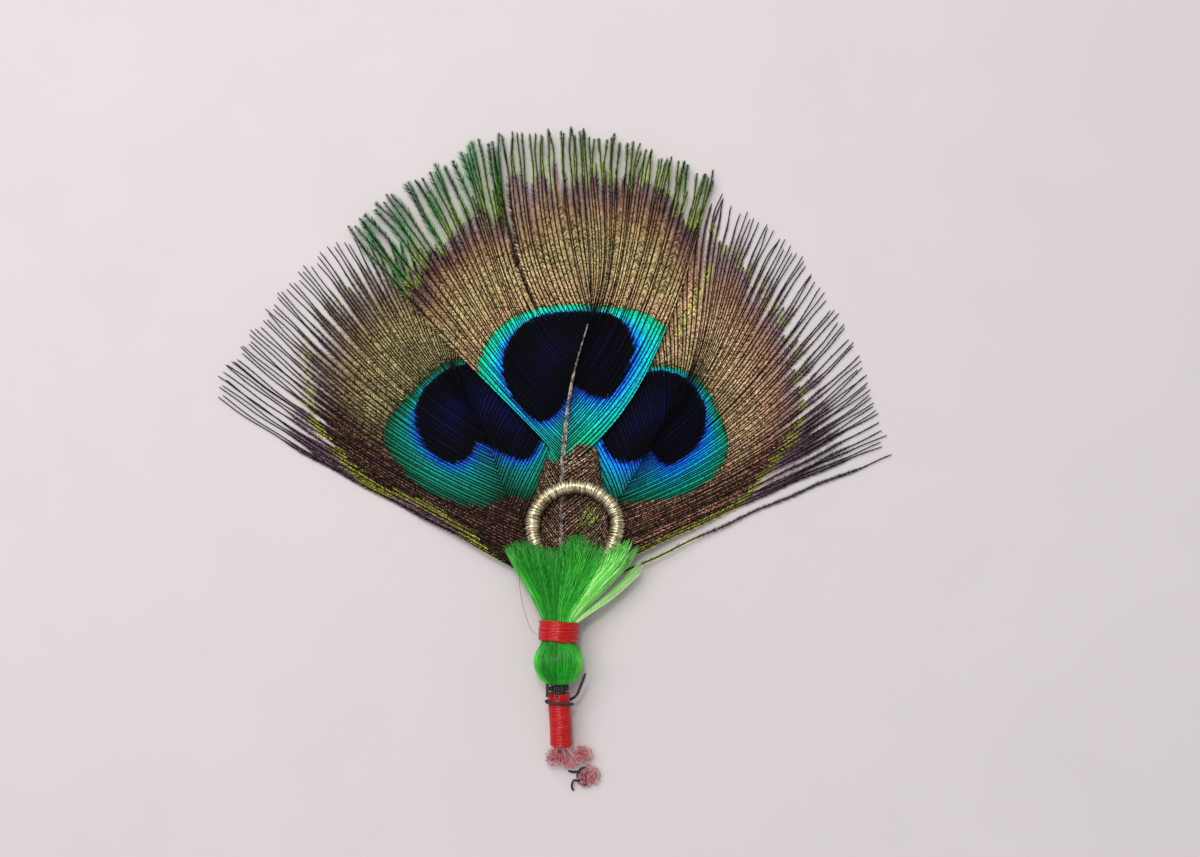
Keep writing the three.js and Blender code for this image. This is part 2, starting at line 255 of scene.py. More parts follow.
def frames(paths):
    """Two directions across each path at each of its points, carried along without turning."""
    ahead = ahead_of(paths)
    helper = np.where(np.abs(ahead[:, 0, 2:3]) < 0.8, [[0.0, 0.0, 1.0]], [[1.0, 0.0, 0.0]])
    across = np.empty_like(paths)
    for i in range(paths.shape[1]):
        across[:, i] = unit(helper - (helper * ahead[:, i]).sum(1, keepdims=True) * ahead[:, i])
        helper = across[:, i]
    return across, np.cross(ahead, across)


def tubes(paths, radii, sides, area=(0, 0, 1, 1), row=None):
    """Round tubes along paths of the same number of points. Returns points, faces and the baking map.

    Each tube has its own rows of the baking map, of that many steps each.
    """
    paths = np.asarray(paths, float)
    count, steps = paths.shape[:2]
    radii = np.broadcast_to(radii, (count, steps))
    across, above = frames(paths)
    turn = np.arange(sides) * 2 * np.pi / sides
    ring = across[:, :, None] * np.cos(turn)[:, None] + above[:, :, None] * np.sin(turn)[:, None]
    points = paths[:, :, None] + radii[:, :, None, None] * ring
    tube, step, side, corners = squares(count, steps, sides)
    row = row or (steps - 1)
    rows_each = -(-(steps - 1) // row)
    rows = count * rows_each
    u = (step % row) / row
    v = (tube * rows_each + step // row + side / sides) / rows
    # Seen from outside, the corners go round anticlockwise.
    faces, uvs = triangles(corners, ("acb", "adc"), u, v, 1 / row, 1 / (sides * rows))
    first = np.arange(count)[:, None] * steps * sides
    last = first + (steps - 1) * sides
    middle_v = (np.arange(count) + 0.5) / count
    for j in range(1, sides - 1):
        faces.append(np.hstack([first, first + j, first + j + 1]))
        faces.append(np.hstack([last, last + j + 1, last + j]))
        for end_u in (0.0, 1.0):
            spot = np.stack([np.full(count, end_u), middle_v], -1)
            uvs.append(np.repeat(spot, 3, axis=0))
    low = np.array(area[:2])
    size = np.array(area[2:]) - low
    return points.reshape(-1, 3), np.vstack(faces), np.vstack(uvs) * size + low


def coil(axis, radius, turns, per_turn, start=0.0):
    """A path that winds round an axis path."""
    gone = along(axis)
    share = np.linspace(0, 1, int(turns * per_turn) + 1)
    across, above = frames(axis[None])
    middle, one, two = (at(line, gone, share * gone[-1]) for line in (axis, across[0], above[0]))
    turn = (start + 2 * np.pi * turns * share)[:, None]
    return middle + radius * (np.cos(turn) * one + np.sin(turn) * two)


# ================= helpers: materials =================
def linear(colour):
    """A colour as seen on a screen, for a shader."""
    return [c / 12.92 if c <= 0.04045 else ((c + 0.055) / 1.055) ** 2.4 for c in colour] + [1.0]


class Paint:
    """A node material and short ways of adding to it.

    A value is a number, three numbers for a colour as seen on a screen, or another node's output.
    """

    def __init__(self, name, roughness, specular=0.5, metallic=0.0):
        self.material = bpy.data.materials.new(name)
        self.material.use_nodes = True
        self.tree = self.material.node_tree
        self.shader = self.tree.nodes["Principled BSDF"]
        self.shader.inputs["Roughness"].default_value = roughness
        self.shader.inputs["Specular IOR Level"].default_value = specular
        self.shader.inputs["Metallic"].default_value = metallic

    def put(self, value, socket):
        if isinstance(value, bpy.types.NodeSocket):
            self.tree.links.new(value, socket)
        else:
            socket.default_value = linear(value) if isinstance(value, tuple) else value

    def node(self, kind, output, values, **settings):
        """Adds a node, fills its inputs and gives back one of its outputs."""
        node = self.tree.nodes.new("ShaderNode" + kind)
        for name, setting in settings.items():
            setattr(node, name, setting)
        for key, value in values.items():
            self.put(value, node.inputs[key])
        return node.outputs[output]

    def mark(self, name):
        return self.node("Attribute", "Fac", {}, attribute_name=name)

    def noise(self, scale, detail=2.0, roughness=0.5):
        place = self.node("TexCoord", "Object", {})
        values = {"Vector": place, "Scale": scale, "Detail": detail, "Roughness": roughness}
        return self.node("TexNoise", "Fac", values)

    def ramp(self, fac, stops):
        node = self.tree.nodes.new("ShaderNodeValToRGB")
        elements = node.color_ramp.elements
        while len(elements) < len(stops):
            elements.new(0.5)
        for element, (place, colour) in zip(elements, sorted(stops)):
            element.position = place
            element.color = linear(colour)
        self.put(fac, node.inputs["Fac"])
        return node.outputs["Color"]

    def mix(self, fac, one, two, way="MIX"):
        return self.node("Mix", 2, {0: fac, 6: one, 7: two}, data_type="RGBA", blend_type=way)

    def maths(self, way, *values):
        return self.node("Math", 0, dict(enumerate(values)), operation=way)

    def times(self, one, two):
        return self.maths("MULTIPLY", one, two)

    def scaled(self, value, factor, shift):
        return self.maths("MULTIPLY_ADD", value, factor, shift)

    def fit(self, value, low, high, to_low=0.0, to_high=1.0):
        """The value, taken from one range to another and held within it."""
        return self.node("MapRange", 0, dict(enumerate((value, low, high, to_low, to_high))))

    def grey(self, value):
        """A grey colour from a number."""
        return self.node("CombineColor", 0, dict.fromkeys(range(3), value))

    def shaded(self, colour, value):
        """The colour, multiplied by a number."""
        return self.mix(1.0, colour, self.grey(value), "MULTIPLY")

    def finish(self, colour, roughness=None, metallic=None):
        """The material, with what varies over it."""
        for name, value in (("Base Color", colour), ("Roughness", roughness), ("Metallic", metallic)):
            if value is not None:
                self.put(value, self.shader.inputs[name])
        return self.material


# ================= the feathers =================
# A feather has these:
#   flat is the height of its vane, and bundle the angle at which its shaft lies in the stem.
#   rachis is the line of its shaft, built as far as point shaft_end. It lies on the vane if shaft_shows.
#   web_ends, frees and threads are the zones in which the web ends, and the barbules come free of it and
#   shrink. free_reach and tip_reach are how long they are before and after that.
#   short is the share of every second barb that ends early, and cut how far outside the rim that is.
#   pairs is the share that lie two by two. curl and stray are how far the ends bend and turn aside.
#   rim_varies is how much the rim's colours differ from barb to barb.
#   jade is where, from left to right, the emerald of the loose ends fades, and crests are bright lime lines,
#   the first a painted highlight.
# A side of a feather has these:
#   A row is where a barb starts on the rachis (its y), where it ends (x, y) and its first and last direction
#   in degrees. Other barbs are spaced out between the rows, the second of them at the share apart.
#   brown is where along the rows the low brown fades. bare is how long the bare ends are at the foot,
#   middle and top, and none is bare below 0. split is the x of a dark gap between the tips.
#   ragged is how unevenly the barbs end, and over how far they lie over the others. lime is how bright
#   they are, and narrow how short their barbules are.
# The heart, ring and rim are the outer edges of the eye's markings.
CENTRE = {
    "name": "centre_feather",
    "flat": CENTRE_Z,
    "bundle": math.pi / 2,
    "rachis": [(1.3, -15.2), (1.4, -4.5), (2.1, 4), (3, 10), (5.0, 17.3), (5.8, 20.5)],
    "shaft_end": 5,
    "shaft_shows": True,
    "tip_reach": 0.85,
    "free_reach": 0.66,
    "web_ends": (2.6, 2.98),
    "frees": (2.85, 3.1),
    "threads": (3.3, 4.0),
    "short": 0.4,
    "cut": (-1.0, 3.0),
    "pairs": 0.6,
    "curl": 0.25,
    "stray": 2.0,
    "rim_varies": 0.06,
    "jade": (-12.0, -6.0),
    "sides": [
        {"barbs": 48, "brown": (-1.0, -0.9), "split": -9.2, "rows": [
            (-3.0, -31.4, 32.4, 133, 133), (-1.0, -28.3, 35.9, 134, 129), (1.0, -25.8, 37.4, 135, 127),
            (3.0, -22.1, 40.3, 137, 122), (5.0, -18.8, 42.3, 138, 118), (7.0, -15.4, 44.2, 138, 113),
            (9.5, -12.6, 46.4, 138, 106), (12.0, -9.0, 47.6, 136, 98), (14.5, -5.0, 48.2, 130, 93),
            (17.0, -1.5, 48.4, 116, 92), (19.8, 2.9, 48.6, 97, 91),
        ]},
        {"barbs": 44, "brown": (-1.0, -0.9), "rows": [
            (-4.2, 24.6, 41.6, 36, 72), (-2.0, 23.2, 40.6, 42, 74), (0.0, 21.0, 42.6, 45, 76),
            (2.5, 19.0, 43.4, 47, 78), (5.0, 17.1, 43.9, 49, 80), (8.0, 14.0, 45.2, 52, 81),
            (11.0, 11.5, 46.8, 55, 83), (14.0, 8.8, 47.5, 60, 85), (17.0, 6.0, 48.0, 68, 87),
            (19.8, 3.0, 48.6, 97, 91),
        ]},
        {"barbs": 34, "brown": (1.5, 2.0), "ragged": 0.15, "rows": [
            (-22.0, -3.7, -14.5, 122, 104), (-16.0, -2.9, -9.5, 122, 106), (-11.0, -1.9, -5.6, 124, 108),
            (-4.0, -0.5, -1.1, 126, 112),
        ]},
        {"barbs": 34, "brown": (1.5, 2.0), "ragged": 0.15, "rows": [
            (-22.0, 8.4, -14.5, 48, 72), (-16.5, 7.6, -9.0, 48, 76), (-11.0, 7.0, -5.0, 48, 78),
            (-5.0, 6.4, -1.0, 44, 60),
        ]},
        {"barbs": 3, "brown": (-1.0, -0.9), "ragged": 0.6, "over": 0.4, "lime": 1.0, "narrow": 0.4, "rows": [
            (-21.0, 5.3, -9.9, 80, 58), (-20.0, 6.2, -9.3, 74, 56), (-18.5, 7.0, -10.6, 68, 54),
        ]},
    ],
    "heart": [
        (-7.5, 10.6), (-6.6, 7.2), (-4.5, 4.2), (-1.7, 2.2), (0.5, 3.6), (2.1, 5.8), (3.4, 7.7), (5.3, 6.4),
        (7.7, 6.1), (9.9, 8.4), (11.7, 12.9), (10.8, 16.8), (7.7, 19.0), (0.8, 19.1), (-3.9, 17.8),
        (-6.7, 14.6),
    ],
    "ring": [
        (-10.8, 9.6), (-10.3, 13.0), (-8.5, 16.2), (-5.1, 18.6), (0.8, 20.1), (7.5, 19.9), (12.8, 18.9),
        (16.6, 16.5), (17.9, 13.8), (15.0, 6.2), (8.6, -0.3), (5.5, -1.2), (3.6, -1.0), (1.5, -3.1),
        (-0.6, -3.1), (-6.2, 2.7),
    ],
    "rim": [
        (-24.5, 16.0), (-21.6, 20.8), (-20.0, 24.6), (-17.8, 27.2), (-15.4, 29.6), (-13.0, 33.6),
        (-10.8, 34.6), (-9.4, 33.4), (-8.6, 32.8), (-7.6, 37.6), (-5.4, 40.0), (2.2, 40.2), (10.8, 40.6),
        (14.0, 39.0), (17.0, 36.6), (20.8, 32.1), (22.6, 27.5), (25.0, 20.0), (22.0, -8.0), (2.0, -30.0),
        (-14.0, -8.0),
    ],
}

SIDE_FEATHER = {"flat": SIDE_Z, "shaft_end": 7, "shaft_shows": False, "free_reach": 0.62, "rim_varies": 0.03}

LEFT = {
    **SIDE_FEATHER,
    "name": "left_feather",
    "bundle": 7 * math.pi / 6,
    "rachis": [(0.6, -25.6), (-0.4, -20.5), (-2.6, -15.2), (-6.6, -8), (-9.1, -1.5), (-11.4, 3.5), (-14, 9)],
    "tip_reach": 0.18,
    "web_ends": (2.5, 2.9),
    "frees": (2.6, 2.98),
    "threads": (2.9, 3.3),
    "short": 0.25,
    "cut": (-1.5, 1.2),
    "pairs": 0.1,
    "curl": 0.1,
    "stray": 0.8,
    "sides": [
        {"barbs": 64, "brown": (0.2, 0.5), "bare": (11, 11, 7), "rows": [
            (-21.5, -49.9, 6.6, 149, 145), (-20.0, -49.3, 9.0, 151, 143), (-18.0, -49.2, 10.5, 153, 143),
            (-15.5, -49.0, 12.2, 156, 143), (-13.5, -47.0, 12.8, 158, 141), (-11.0, -46.0, 15.0, 158, 139),
            (-8.5, -44.6, 17.4, 158, 137), (-6.0, -43.0, 20.0, 157, 135), (-3.5, -41.2, 22.8, 156, 133),
            (-1.0, -39.0, 25.4, 154, 131), (1.5, -36.5, 28.2, 151, 128), (4.0, -33.8, 30.8, 148, 124),
            (6.0, -29.0, 31.2, 142, 120), (7.5, -24.0, 31.0, 136, 114), (9.0, -16.3, 29.8, 116, 104),
        ]},
        {"barbs": 54, "brown": (0.1, 0.5), "bare": (4, 5, 7), "rows": [
            (-20.0, -0.6, -13.0, 78, 84), (-15.0, 0.2, -5.0, 74, 80), (-11.0, 0.4, 3.0, 72, 80),
            (-7.0, 0.4, 12.0, 74, 84), (-2.0, 0.2, 20.0, 80, 90), (3.0, -3.0, 25.0, 90, 98),
            (7.0, -9.0, 27.5, 98, 102), (9.0, -15.6, 29.6, 112, 104),
        ]},
    ],
    "heart": [
        (-14.4, 11.2), (-16.9, 9.9), (-18.9, 7.9), (-20.1, 5.5), (-20.2, 2.8), (-18.8, -0.5), (-16.4, -2.8),
        (-13.9, -3.4), (-12.2, -2.6), (-10.9, -0.4), (-8.2, -1.7), (-4.2, -3.2), (-2.4, -1.4), (-1.3, 2.5),
        (-3.8, 7.8), (-9.5, 11.5),
    ],
    "ring": [
        (-14.7, 11.9), (-17.7, 10.3), (-22.2, 5.5), (-24.4, 2.2), (-24.5, 0.1), (-22.9, -3.0),
        (-19.2, -6.9), (-15.5, -8.8), (-10.4, -10.0), (-8.0, -9.2), (-6.0, -8.4), (-3.6, -8.9),
        (-1.2, -7.0), (1.0, -0.5), (-0.9, 7.8), (-8.0, 12.4),
    ],
    "rim": [
        (-7.5, -17.0), (-13.0, -12.4), (-19.7, -8.4), (-26.3, -6.0), (-33.0, 0.6), (-35.6, 5.9),
        (-36.6, 13.0), (-34.2, 18.6), (-30.2, 24.4), (-24.0, 28.0), (-10.0, 36.0), (8.0, 30.0), (10.0, 0.0),
        (2.0, -24.0),
    ],
}

RIGHT = {
    **SIDE_FEATHER,
    "name": "right_feather",
    "bundle": -math.pi / 6,
    "rachis": [(1.6, -25.6), (2.9, -20.5), (5.4, -15.2), (10, -7.8), (12.3, -4.1), (15.2, 1), (18.4, 6.5)],
    "tip_reach": 0.2,
    "web_ends": (2.45, 2.88),
    "frees": (2.6, 3.0),
    "threads": (2.95, 3.35),
    "short": 0.3,
    "cut": (-1.0, 1.5),
    "pairs": 0.15,
    "curl": 0.15,
    "stray": 1.0,
    "sides": [
        {"barbs": 68, "apart": 0.05, "brown": (0.2, 0.45), "bare": (4, 7, 5), "rows": [
            (-22.5, 49.9, -2.0, 24, 18), (-20.3, 48.8, -0.2, 24, 22), (-18.5, 48.0, 2.6, 24, 28),
            (-16.5, 47.3, 5.6, 23, 34), (-14.0, 46.6, 8.4, 21, 38), (-12.0, 45.7, 11.4, 20, 43),
            (-10.0, 44.4, 14.8, 20, 46), (-8.0, 42.9, 18.4, 22, 50), (-6.0, 41.2, 21.8, 25, 53),
            (-4.0, 39.4, 25.0, 28, 56), (-2.0, 37.4, 27.8, 32, 58), (0.0, 35.2, 30.2, 36, 60),
            (2.0, 32.6, 33.0, 41, 62), (3.6, 30.2, 34.6, 46, 65), (5.0, 28.2, 36.4, 52, 69),
            (6.2, 25.4, 38.4, 60, 72),
        ]},
        {"barbs": 54, "brown": (0.1, 0.5), "bare": (-2, -1, 4), "rows": [
            (-20.0, 3.2, -12.0, 112, 100), (-15.0, 2.2, -4.0, 110, 100), (-11.0, 1.8, 4.0, 108, 98),
            (-7.0, 3.0, 12.0, 104, 94), (-2.0, 8.0, 22.0, 96, 86), (2.0, 15.0, 30.0, 86, 78),
            (5.0, 20.6, 35.4, 74, 74), (6.2, 25.2, 38.4, 62, 72),
        ]},
    ],
    "heart": [
        (15.2, 10.4), (19.1, 9.5), (21.3, 7.1), (22.4, 3.7), (21.5, 0.0), (19.2, -2.3), (16.7, -3.8),
        (15.2, -3.1), (14.1, -1.8), (12.7, -2.9), (10.0, -3.5), (8.0, -2.1), (6.8, 1.0), (8.6, 5.5),
        (12.0, 9.0),
    ],
    "ring": [
        (15.3, 10.9), (19.7, 10.2), (22.1, 7.9), (23.8, 4.5), (25.0, 1.0), (25.3, -1.2), (24.0, -4.4),
        (21.7, -6.5), (18.4, -8.2), (14.0, -9.0), (9.7, -9.3), (6.8, -7.8), (4.8, -1.9), (6.8, 5.5),
        (11.2, 10.0),
    ],
    "rim": [
        (11.7, -16.3), (20.6, -12.1), (26.1, -9.1), (29.8, -5.2), (35.2, 1.5), (36.2, 7.5), (35.9, 12.0),
        (34.6, 16.0), (32.4, 21.0), (29.8, 24.6), (28.0, 27.2), (26.0, 30.0), (20.0, 35.0), (0.0, 36.0),
        (-6.0, 0.0), (2.0, -24.0),
    ],
    # Bright lines: one, a painted highlight, beside the edge of the centre feather, and the foot of the
    # lowest barb.
    "crests": [
        [(18.4, 15.6), (20.2, 19.7), (22.2, 23.2), (23.4, 26.3)],
        [(10.1, -19.1), (12.6, -17.9), (15.1, -16.6), (17.6, -15.5), (20.2, -14.4)],
    ],
}

# What a side of a feather has where it doesn't say.
PLAIN_SIDE = {
    "split": math.inf, "ragged": 1.5, "bare": (-10, -10, -10), "over": 0.0, "lime": 0.0, "narrow": 1.0,
}
CONTOUR_SPACING = {"heart": 0.6, "ring": 0.6, "rim": 1.5}
# Marks that change along a barb and are the same across it.
CARRIED = ("zone", "brown", "start", "jade", "lime")
# A blade has two points at its foot, two in its middle and one at its tip: how far out each one is, and how
# far along the barb from the blade's middle line, in widths.
BLADE_OUT = (0.0, 0.0, 0.6, 0.6, 1.0)
BLADE_SIDE = (-0.5, 0.5, -0.45, 0.45, 0.0)
BLADE_FACES = np.array([[0, 1, 3], [0, 3, 2], [2, 3, 4]])


def barb_paths(shape, side, chance):
    """The middle lines of the barbs on one side of a feather, and how far up its rows each one is."""
    rows = np.array(side["rows"], float)
    gaps = 0.55 * np.abs(np.diff(rows[:, 0])) + 0.45 * np.hypot(*np.diff(rows[:, 1:3], axis=0).T)
    place = np.concatenate([[0], np.cumsum(gaps)]) / gaps.sum()
    count = side["barbs"]
    share = np.append(0, np.linspace(side.get("apart", 1 / (count - 1)), 1, count - 1))
    share = np.clip(share + chance.normal(0, 0.12 / count, count), 0, 1)
    root_y, tip_x, tip_y, first, last = (np.interp(share, place, rows[:, k]) for k in range(5))
    rachis = curve(shape["rachis"], 0.4)
    root = np.stack([np.interp(root_y, rachis[:, 1], rachis[:, 0]), root_y], 1)
    reach = chance.uniform(-0.75, 0.25, count) * side["ragged"]
    last_way = heading(np.radians(last + chance.normal(0, shape["stray"], count)))
    tip = np.stack([tip_x, tip_y], 1) + reach[:, None] * last_way
    handle = 0.36 * np.linalg.norm(tip - root, axis=1)[:, None]
    near = root + handle * heading(np.radians(first))
    far = tip - handle * last_way
    t = np.linspace(0, 1, BARB_STEPS)[None, :, None]
    flat = (
        root[:, None] * (1 - t) ** 3 + 3 * near[:, None] * t * (1 - t) ** 2
        + 3 * far[:, None] * t * t * (1 - t) + tip[:, None] * t**3
    )
    return flat, share


def outside(shape, name, spots):
    """How far each spot is outside one of the edges of the eye's markings."""
    return distance_to(spots.reshape(-1, 2), shape[name + "_line"]).reshape(spots.shape[:-1])


def zones(shape, spots):
    """The marking at each spot: 0 to 1 in the heart, to 2 in the ring, to 3 in the bronze, then the rim."""
    heart, ring, rim = (outside(shape, name, spots) for name in CONTOUR_SPACING)
    inner = 1 + np.clip(heart / HEART_DEPTH, -1, 0)
    broad = np.maximum(heart - ring, 1e-6)
    narrow = RING_SKIP * (1 - smooth(broad, *RING_NARROW))
    in_ring = 1 + narrow + (1 - narrow) * heart / broad
    bronze = 2 + ring / np.maximum(ring - rim, 1e-6)
    outer = 3 + np.clip(rim / RIM_REACH, 0, 1)
    return np.where(heart < 0, inner, np.where(ring < 0, in_ring, np.where(rim < 0, bronze, outer)))


def shifted(zone, shift):
    """The zone, with the rim nearer or farther on some barbs than on others."""
    return zone + shift * smooth(zone, 2.4, 2.9)


def crest_at(shape, flat):
    """How far each spot is part of a crest line, which is painted bright lime."""
    if "crests" not in shape:
        return np.zeros(flat.shape[:2])
    crest = np.vstack([curve(line, 0.5) for line in shape["crests"]])
    away = np.linalg.norm(flat[:, :, None] - crest[None, None], axis=3).min(axis=2)
    return 0.6 * (1 - smooth(away, 0.3, 0.55))


def jade_at(shape, flat):
    """How emerald the loose ends are, in locks from left to right."""
    if "jade" not in shape:
        return np.zeros(flat.shape[:2])
    x = flat[..., 0]
    return (1 - smooth(x, *shape["jade"])) * np.clip(0.4 + 0.4 * np.sin(x * 1.3), 0.1, 1)


def neighbour_gap(paths):
    """How far it is from each point of a barb to the barb before it and to the one after it."""
    gaps = np.empty((len(paths), 2, paths.shape[1]))
    for i in range(1, len(paths)):
        away = np.linalg.norm(paths[i][:, None] - paths[i - 1][None], axis=-1)
        gaps[i, 0] = away.min(axis=1)
        gaps[i - 1, 1] = away.min(axis=0)
    gaps[0, 0] = gaps[0, 1]
    gaps[-1, 1] = gaps[-1, 0]
    return gaps


def next_is_left(flat):
    """1 where each barb's next one is on its left, as seen from its root, and -1 where it is on its right."""
    half = BARB_STEPS // 2
    ahead = flat[:-1, half + 1] - flat[:-1, half]
    over = flat[1:, half] - flat[:-1, half]
    return 1 if (ahead[:, 0] * over[:, 1] - ahead[:, 1] * over[:, 0]).sum() > 0 else -1


def loosened(flat, shape, chance):
    """The barbs with their loose ends waving a little, and many of them lying together in pairs."""
    count = len(flat)
    loose = smooth(outside(shape, "rim", flat), -4.0, 2.5)
    ahead = ahead_of(flat)
    normal = np.stack([-ahead[..., 1], ahead[..., 0]], -1)
    gap = neighbour_gap(flat).mean(axis=1)
    closer = np.where(chance.uniform(0, 1, count) < shape["pairs"], chance.uniform(0.15, 0.36, count), 0)
    number = np.arange(count)
    closer = closer[number - number % 2] * (np.minimum(number, count - 1 - number) > 1)
    toward = np.where(number % 2 == 0, 1, -1) * next_is_left(flat)
    pair = (closer * toward + chance.normal(0, 0.08, count))[:, None] * np.minimum(gap, 1.4)
    t = np.linspace(0, 1, BARB_STEPS)
    phase = chance.uniform(0, 2 * np.pi, count)[:, None]
    wave = 0.08 * np.sin(phase + t * lengths(flat)[:, None] / 1.7)
    curl = chance.normal(0, shape["curl"], count)[:, None] * smooth(t, 0.9, 1.0)
    return flat + normal * ((pair + wave + curl) * loose)[..., None]


def shortened(flat, shape, side, chance):
    """Many of the barbs end near the rim, every second one at most, so that the loose ends stand apart."""
    rim = outside(shape, "rim", flat)
    for i in range(len(flat)):
        cut = chance.uniform(*shape["cut"])
        short = i % 2 == 1 and chance.uniform() < shape["short"]
        by_split = abs(flat[i, -1, 0] - side["split"]) < 2
        past = np.nonzero(rim[i] > cut)[0]
        if short and not by_split and len(past) and past[0] > BARB_STEPS // 4:
            flat[i] = evened(flat[i, : past[0] + 1], BARB_STEPS)
    return flat


def side_barbs(shape, side, chance):
    """The barbs on one side of a feather: their lines, their marks, and the gaps between them."""
    t = np.linspace(0, 1, BARB_STEPS)
    flat, share = barb_paths(shape, side, chance)
    count = len(flat)
    from_split = np.abs(flat[:, -1, 0] - side["split"])[:, None]
    flat = loosened(flat, shape, chance)
    if side["ragged"] > 1:
        flat = shortened(flat, shape, side, chance)
    shift = chance.normal(0, shape["rim_varies"], count)
    zone = shifted(zones(shape, flat), shift[:, None])
    split = from_split < SPLIT_WIDTH[0] + SPLIT_WIDTH[1] * smooth(zone, 2.3, 2.95)
    beyond = smooth(zone, 2.0, 2.12)
    high = lifted(flat, shape["flat"]) + side["over"] * beyond * smooth(t, 0, 0.2)
    high = high + chance.uniform(-0.06, 0.06, count)[:, None] * smooth(t, 0, 0.3)
    near_mouth = 1 - smooth(from_mouth(flat), 11, 19)
    length = lengths(flat)[:, None]
    return {
        "paths": np.dstack([flat, high]),
        "gaps": neighbour_gap(flat),
        "turn": np.full(count, next_is_left(flat)),
        "to_tip": (1 - t) * length,
        "bare": np.interp(share, (0, 0.5, 1), side["bare"]),
        "each": chance.uniform(0, 1, count),
        "shift": shift,
        "zone": zone,
        "brown": np.maximum(1 - smooth(share, *side["brown"])[:, None], near_mouth) + 1.5 * split,
        "start": np.clip(t * length / 5, 0, 1),
        "jade": jade_at(shape, flat),
        "lime": np.maximum(side["lime"], crest_at(shape, flat)) * beyond,
    }


def add_vane(pile, shape, chance):
    """The barbs, with their barbules and the web that these make below. Each has a row of the baking map."""
    rows = sum(side["barbs"] for side in shape["sides"])
    row = 0
    for side in shape["sides"]:
        side = {**PLAIN_SIDE, **side}
        barbs = side_barbs(shape, side, chance)
        add_rami(pile, barbs, row, rows)
        if side["narrow"] == 1:
            add_web(pile, barbs, shape, row, rows, chance)
        for i in range(side["barbs"]):
            barb = {name: values[i] for name, values in barbs.items()}
            add_barbules(pile, barb, shape, side["narrow"], row + i, rows, chance)
        row += side["barbs"]


def add_rami(pile, barbs, row, rows):
    """The middle of each barb, a thin tapering tube in the middle fifth of its row of the baking map."""
    area = (BARB_STRIP, row / rows, 1, (row + len(barbs["paths"])) / rows)
    radius = np.linspace(*RAMUS_RADIUS, BARB_STEPS)
    points, faces, uvs = tubes(barbs["paths"] + [0, 0, RAMUS_RISE], radius, 3, area)
    own_row = np.floor(uvs[:, 1] * rows - 1e-6)
    uvs[:, 1] = (own_row + 0.4 + 0.2 * (uvs[:, 1] * rows - own_row)) / rows
    marks = {name: per_point(barbs[name], 3) for name in CARRIED}
    each = per_point(np.repeat(barbs["each"], BARB_STEPS), 3)
    pile.add(points, faces, uvs, barb=each, speck=0.5, ramus=1.0, **marks)


def add_web(pile, barbs, shape, row, rows, chance):
    """The lower barbules, which close the space between one barb and the next as a strip on each side."""
    turn = barbs["turn"][0]
    paths = barbs["paths"][:, ::WEB_STEP]
    zone = barbs["zone"][:, ::WEB_STEP]
    gaps = np.clip(barbs["gaps"][..., ::WEB_STEP], 0.1, 1.6)
    count, steps = zone.shape
    fray = chance.uniform(-0.16, 0.16, (count, 1))
    low = np.clip(barbs["brown"], 0, 1) * smooth(barbs["to_tip"] - barbs["bare"][:, None], 0, 8)
    low = low[:, ::WEB_STEP] * (1 - smooth(zone, 3.2, 3.7)) * (1 - smooth(gaps.max(axis=1), 1.0, 1.3))
    cover = 0.56 * np.maximum(1 - smooth(zone + fray, *shape["web_ends"]), low)
    ahead = ahead_of(paths)
    left = turn * np.stack([-ahead[..., 1], ahead[..., 0], 0 * zone], -1)
    before = paths - left * (cover * gaps[:, 0])[..., None]
    after = paths + left * (cover * gaps[:, 1])[..., None]
    sunk = np.array([0, 0, WEB_DROP])
    points = np.stack([before - sunk, paths - 0.5 * sunk, after - sunk], 2).reshape(-1, 3)
    barb, place, half, corners = squares(count, steps, 3, closed=False)
    du = (1 - BARB_STRIP) / (steps - 1)
    v = (row + barb + 0.02 + 0.04 * half) / rows
    ways = ("adc", "acb") if turn > 0 else ("cda", "bca")
    faces, uvs = triangles(corners, ways, BARB_STRIP + du * place, v, du, 0.04 / rows)
    marks = {name: per_point(barbs[name][:, ::WEB_STEP], 3) for name in CARRIED}
    each = per_point(np.repeat(barbs["each"], steps), 3)
    # Its low out mark paints the web dark: partly the barbules' own dark, partly painted shade between the
    # barbs.
    pile.add(points, np.vstack(faces), np.vstack(uvs), barb=each, out=0.16, speck=0.25, **marks)


def blades(foot, ahead, reach, width, lean, twist, tilt, side):
    """Flat blades that taper to a tip. Returns their points, five to each blade, and their faces."""
    out = np.stack([-ahead[:, 1], ahead[:, 0], np.zeros(len(ahead))], 1) * side
    way = np.cos(lean)[:, None] * ahead + np.sin(lean)[:, None] * out
    way[:, 2] += np.tan(tilt)
    broad = ahead * np.cos(twist)[:, None]
    broad[:, 2] += np.sin(twist)
    reach = (reach[:, None] * unit(way))[:, None]
    broad = (width[:, None] * broad)[:, None]
    points = foot[:, None] + np.array(BLADE_OUT)[:, None] * reach + np.array(BLADE_SIDE)[:, None] * broad
    pattern = BLADE_FACES[:, ::-1] if side > 0 else BLADE_FACES
    faces = (np.arange(len(foot))[:, None, None] * len(BLADE_OUT) + pattern[None]).reshape(-1, 3)
    return points.reshape(-1, 3), faces


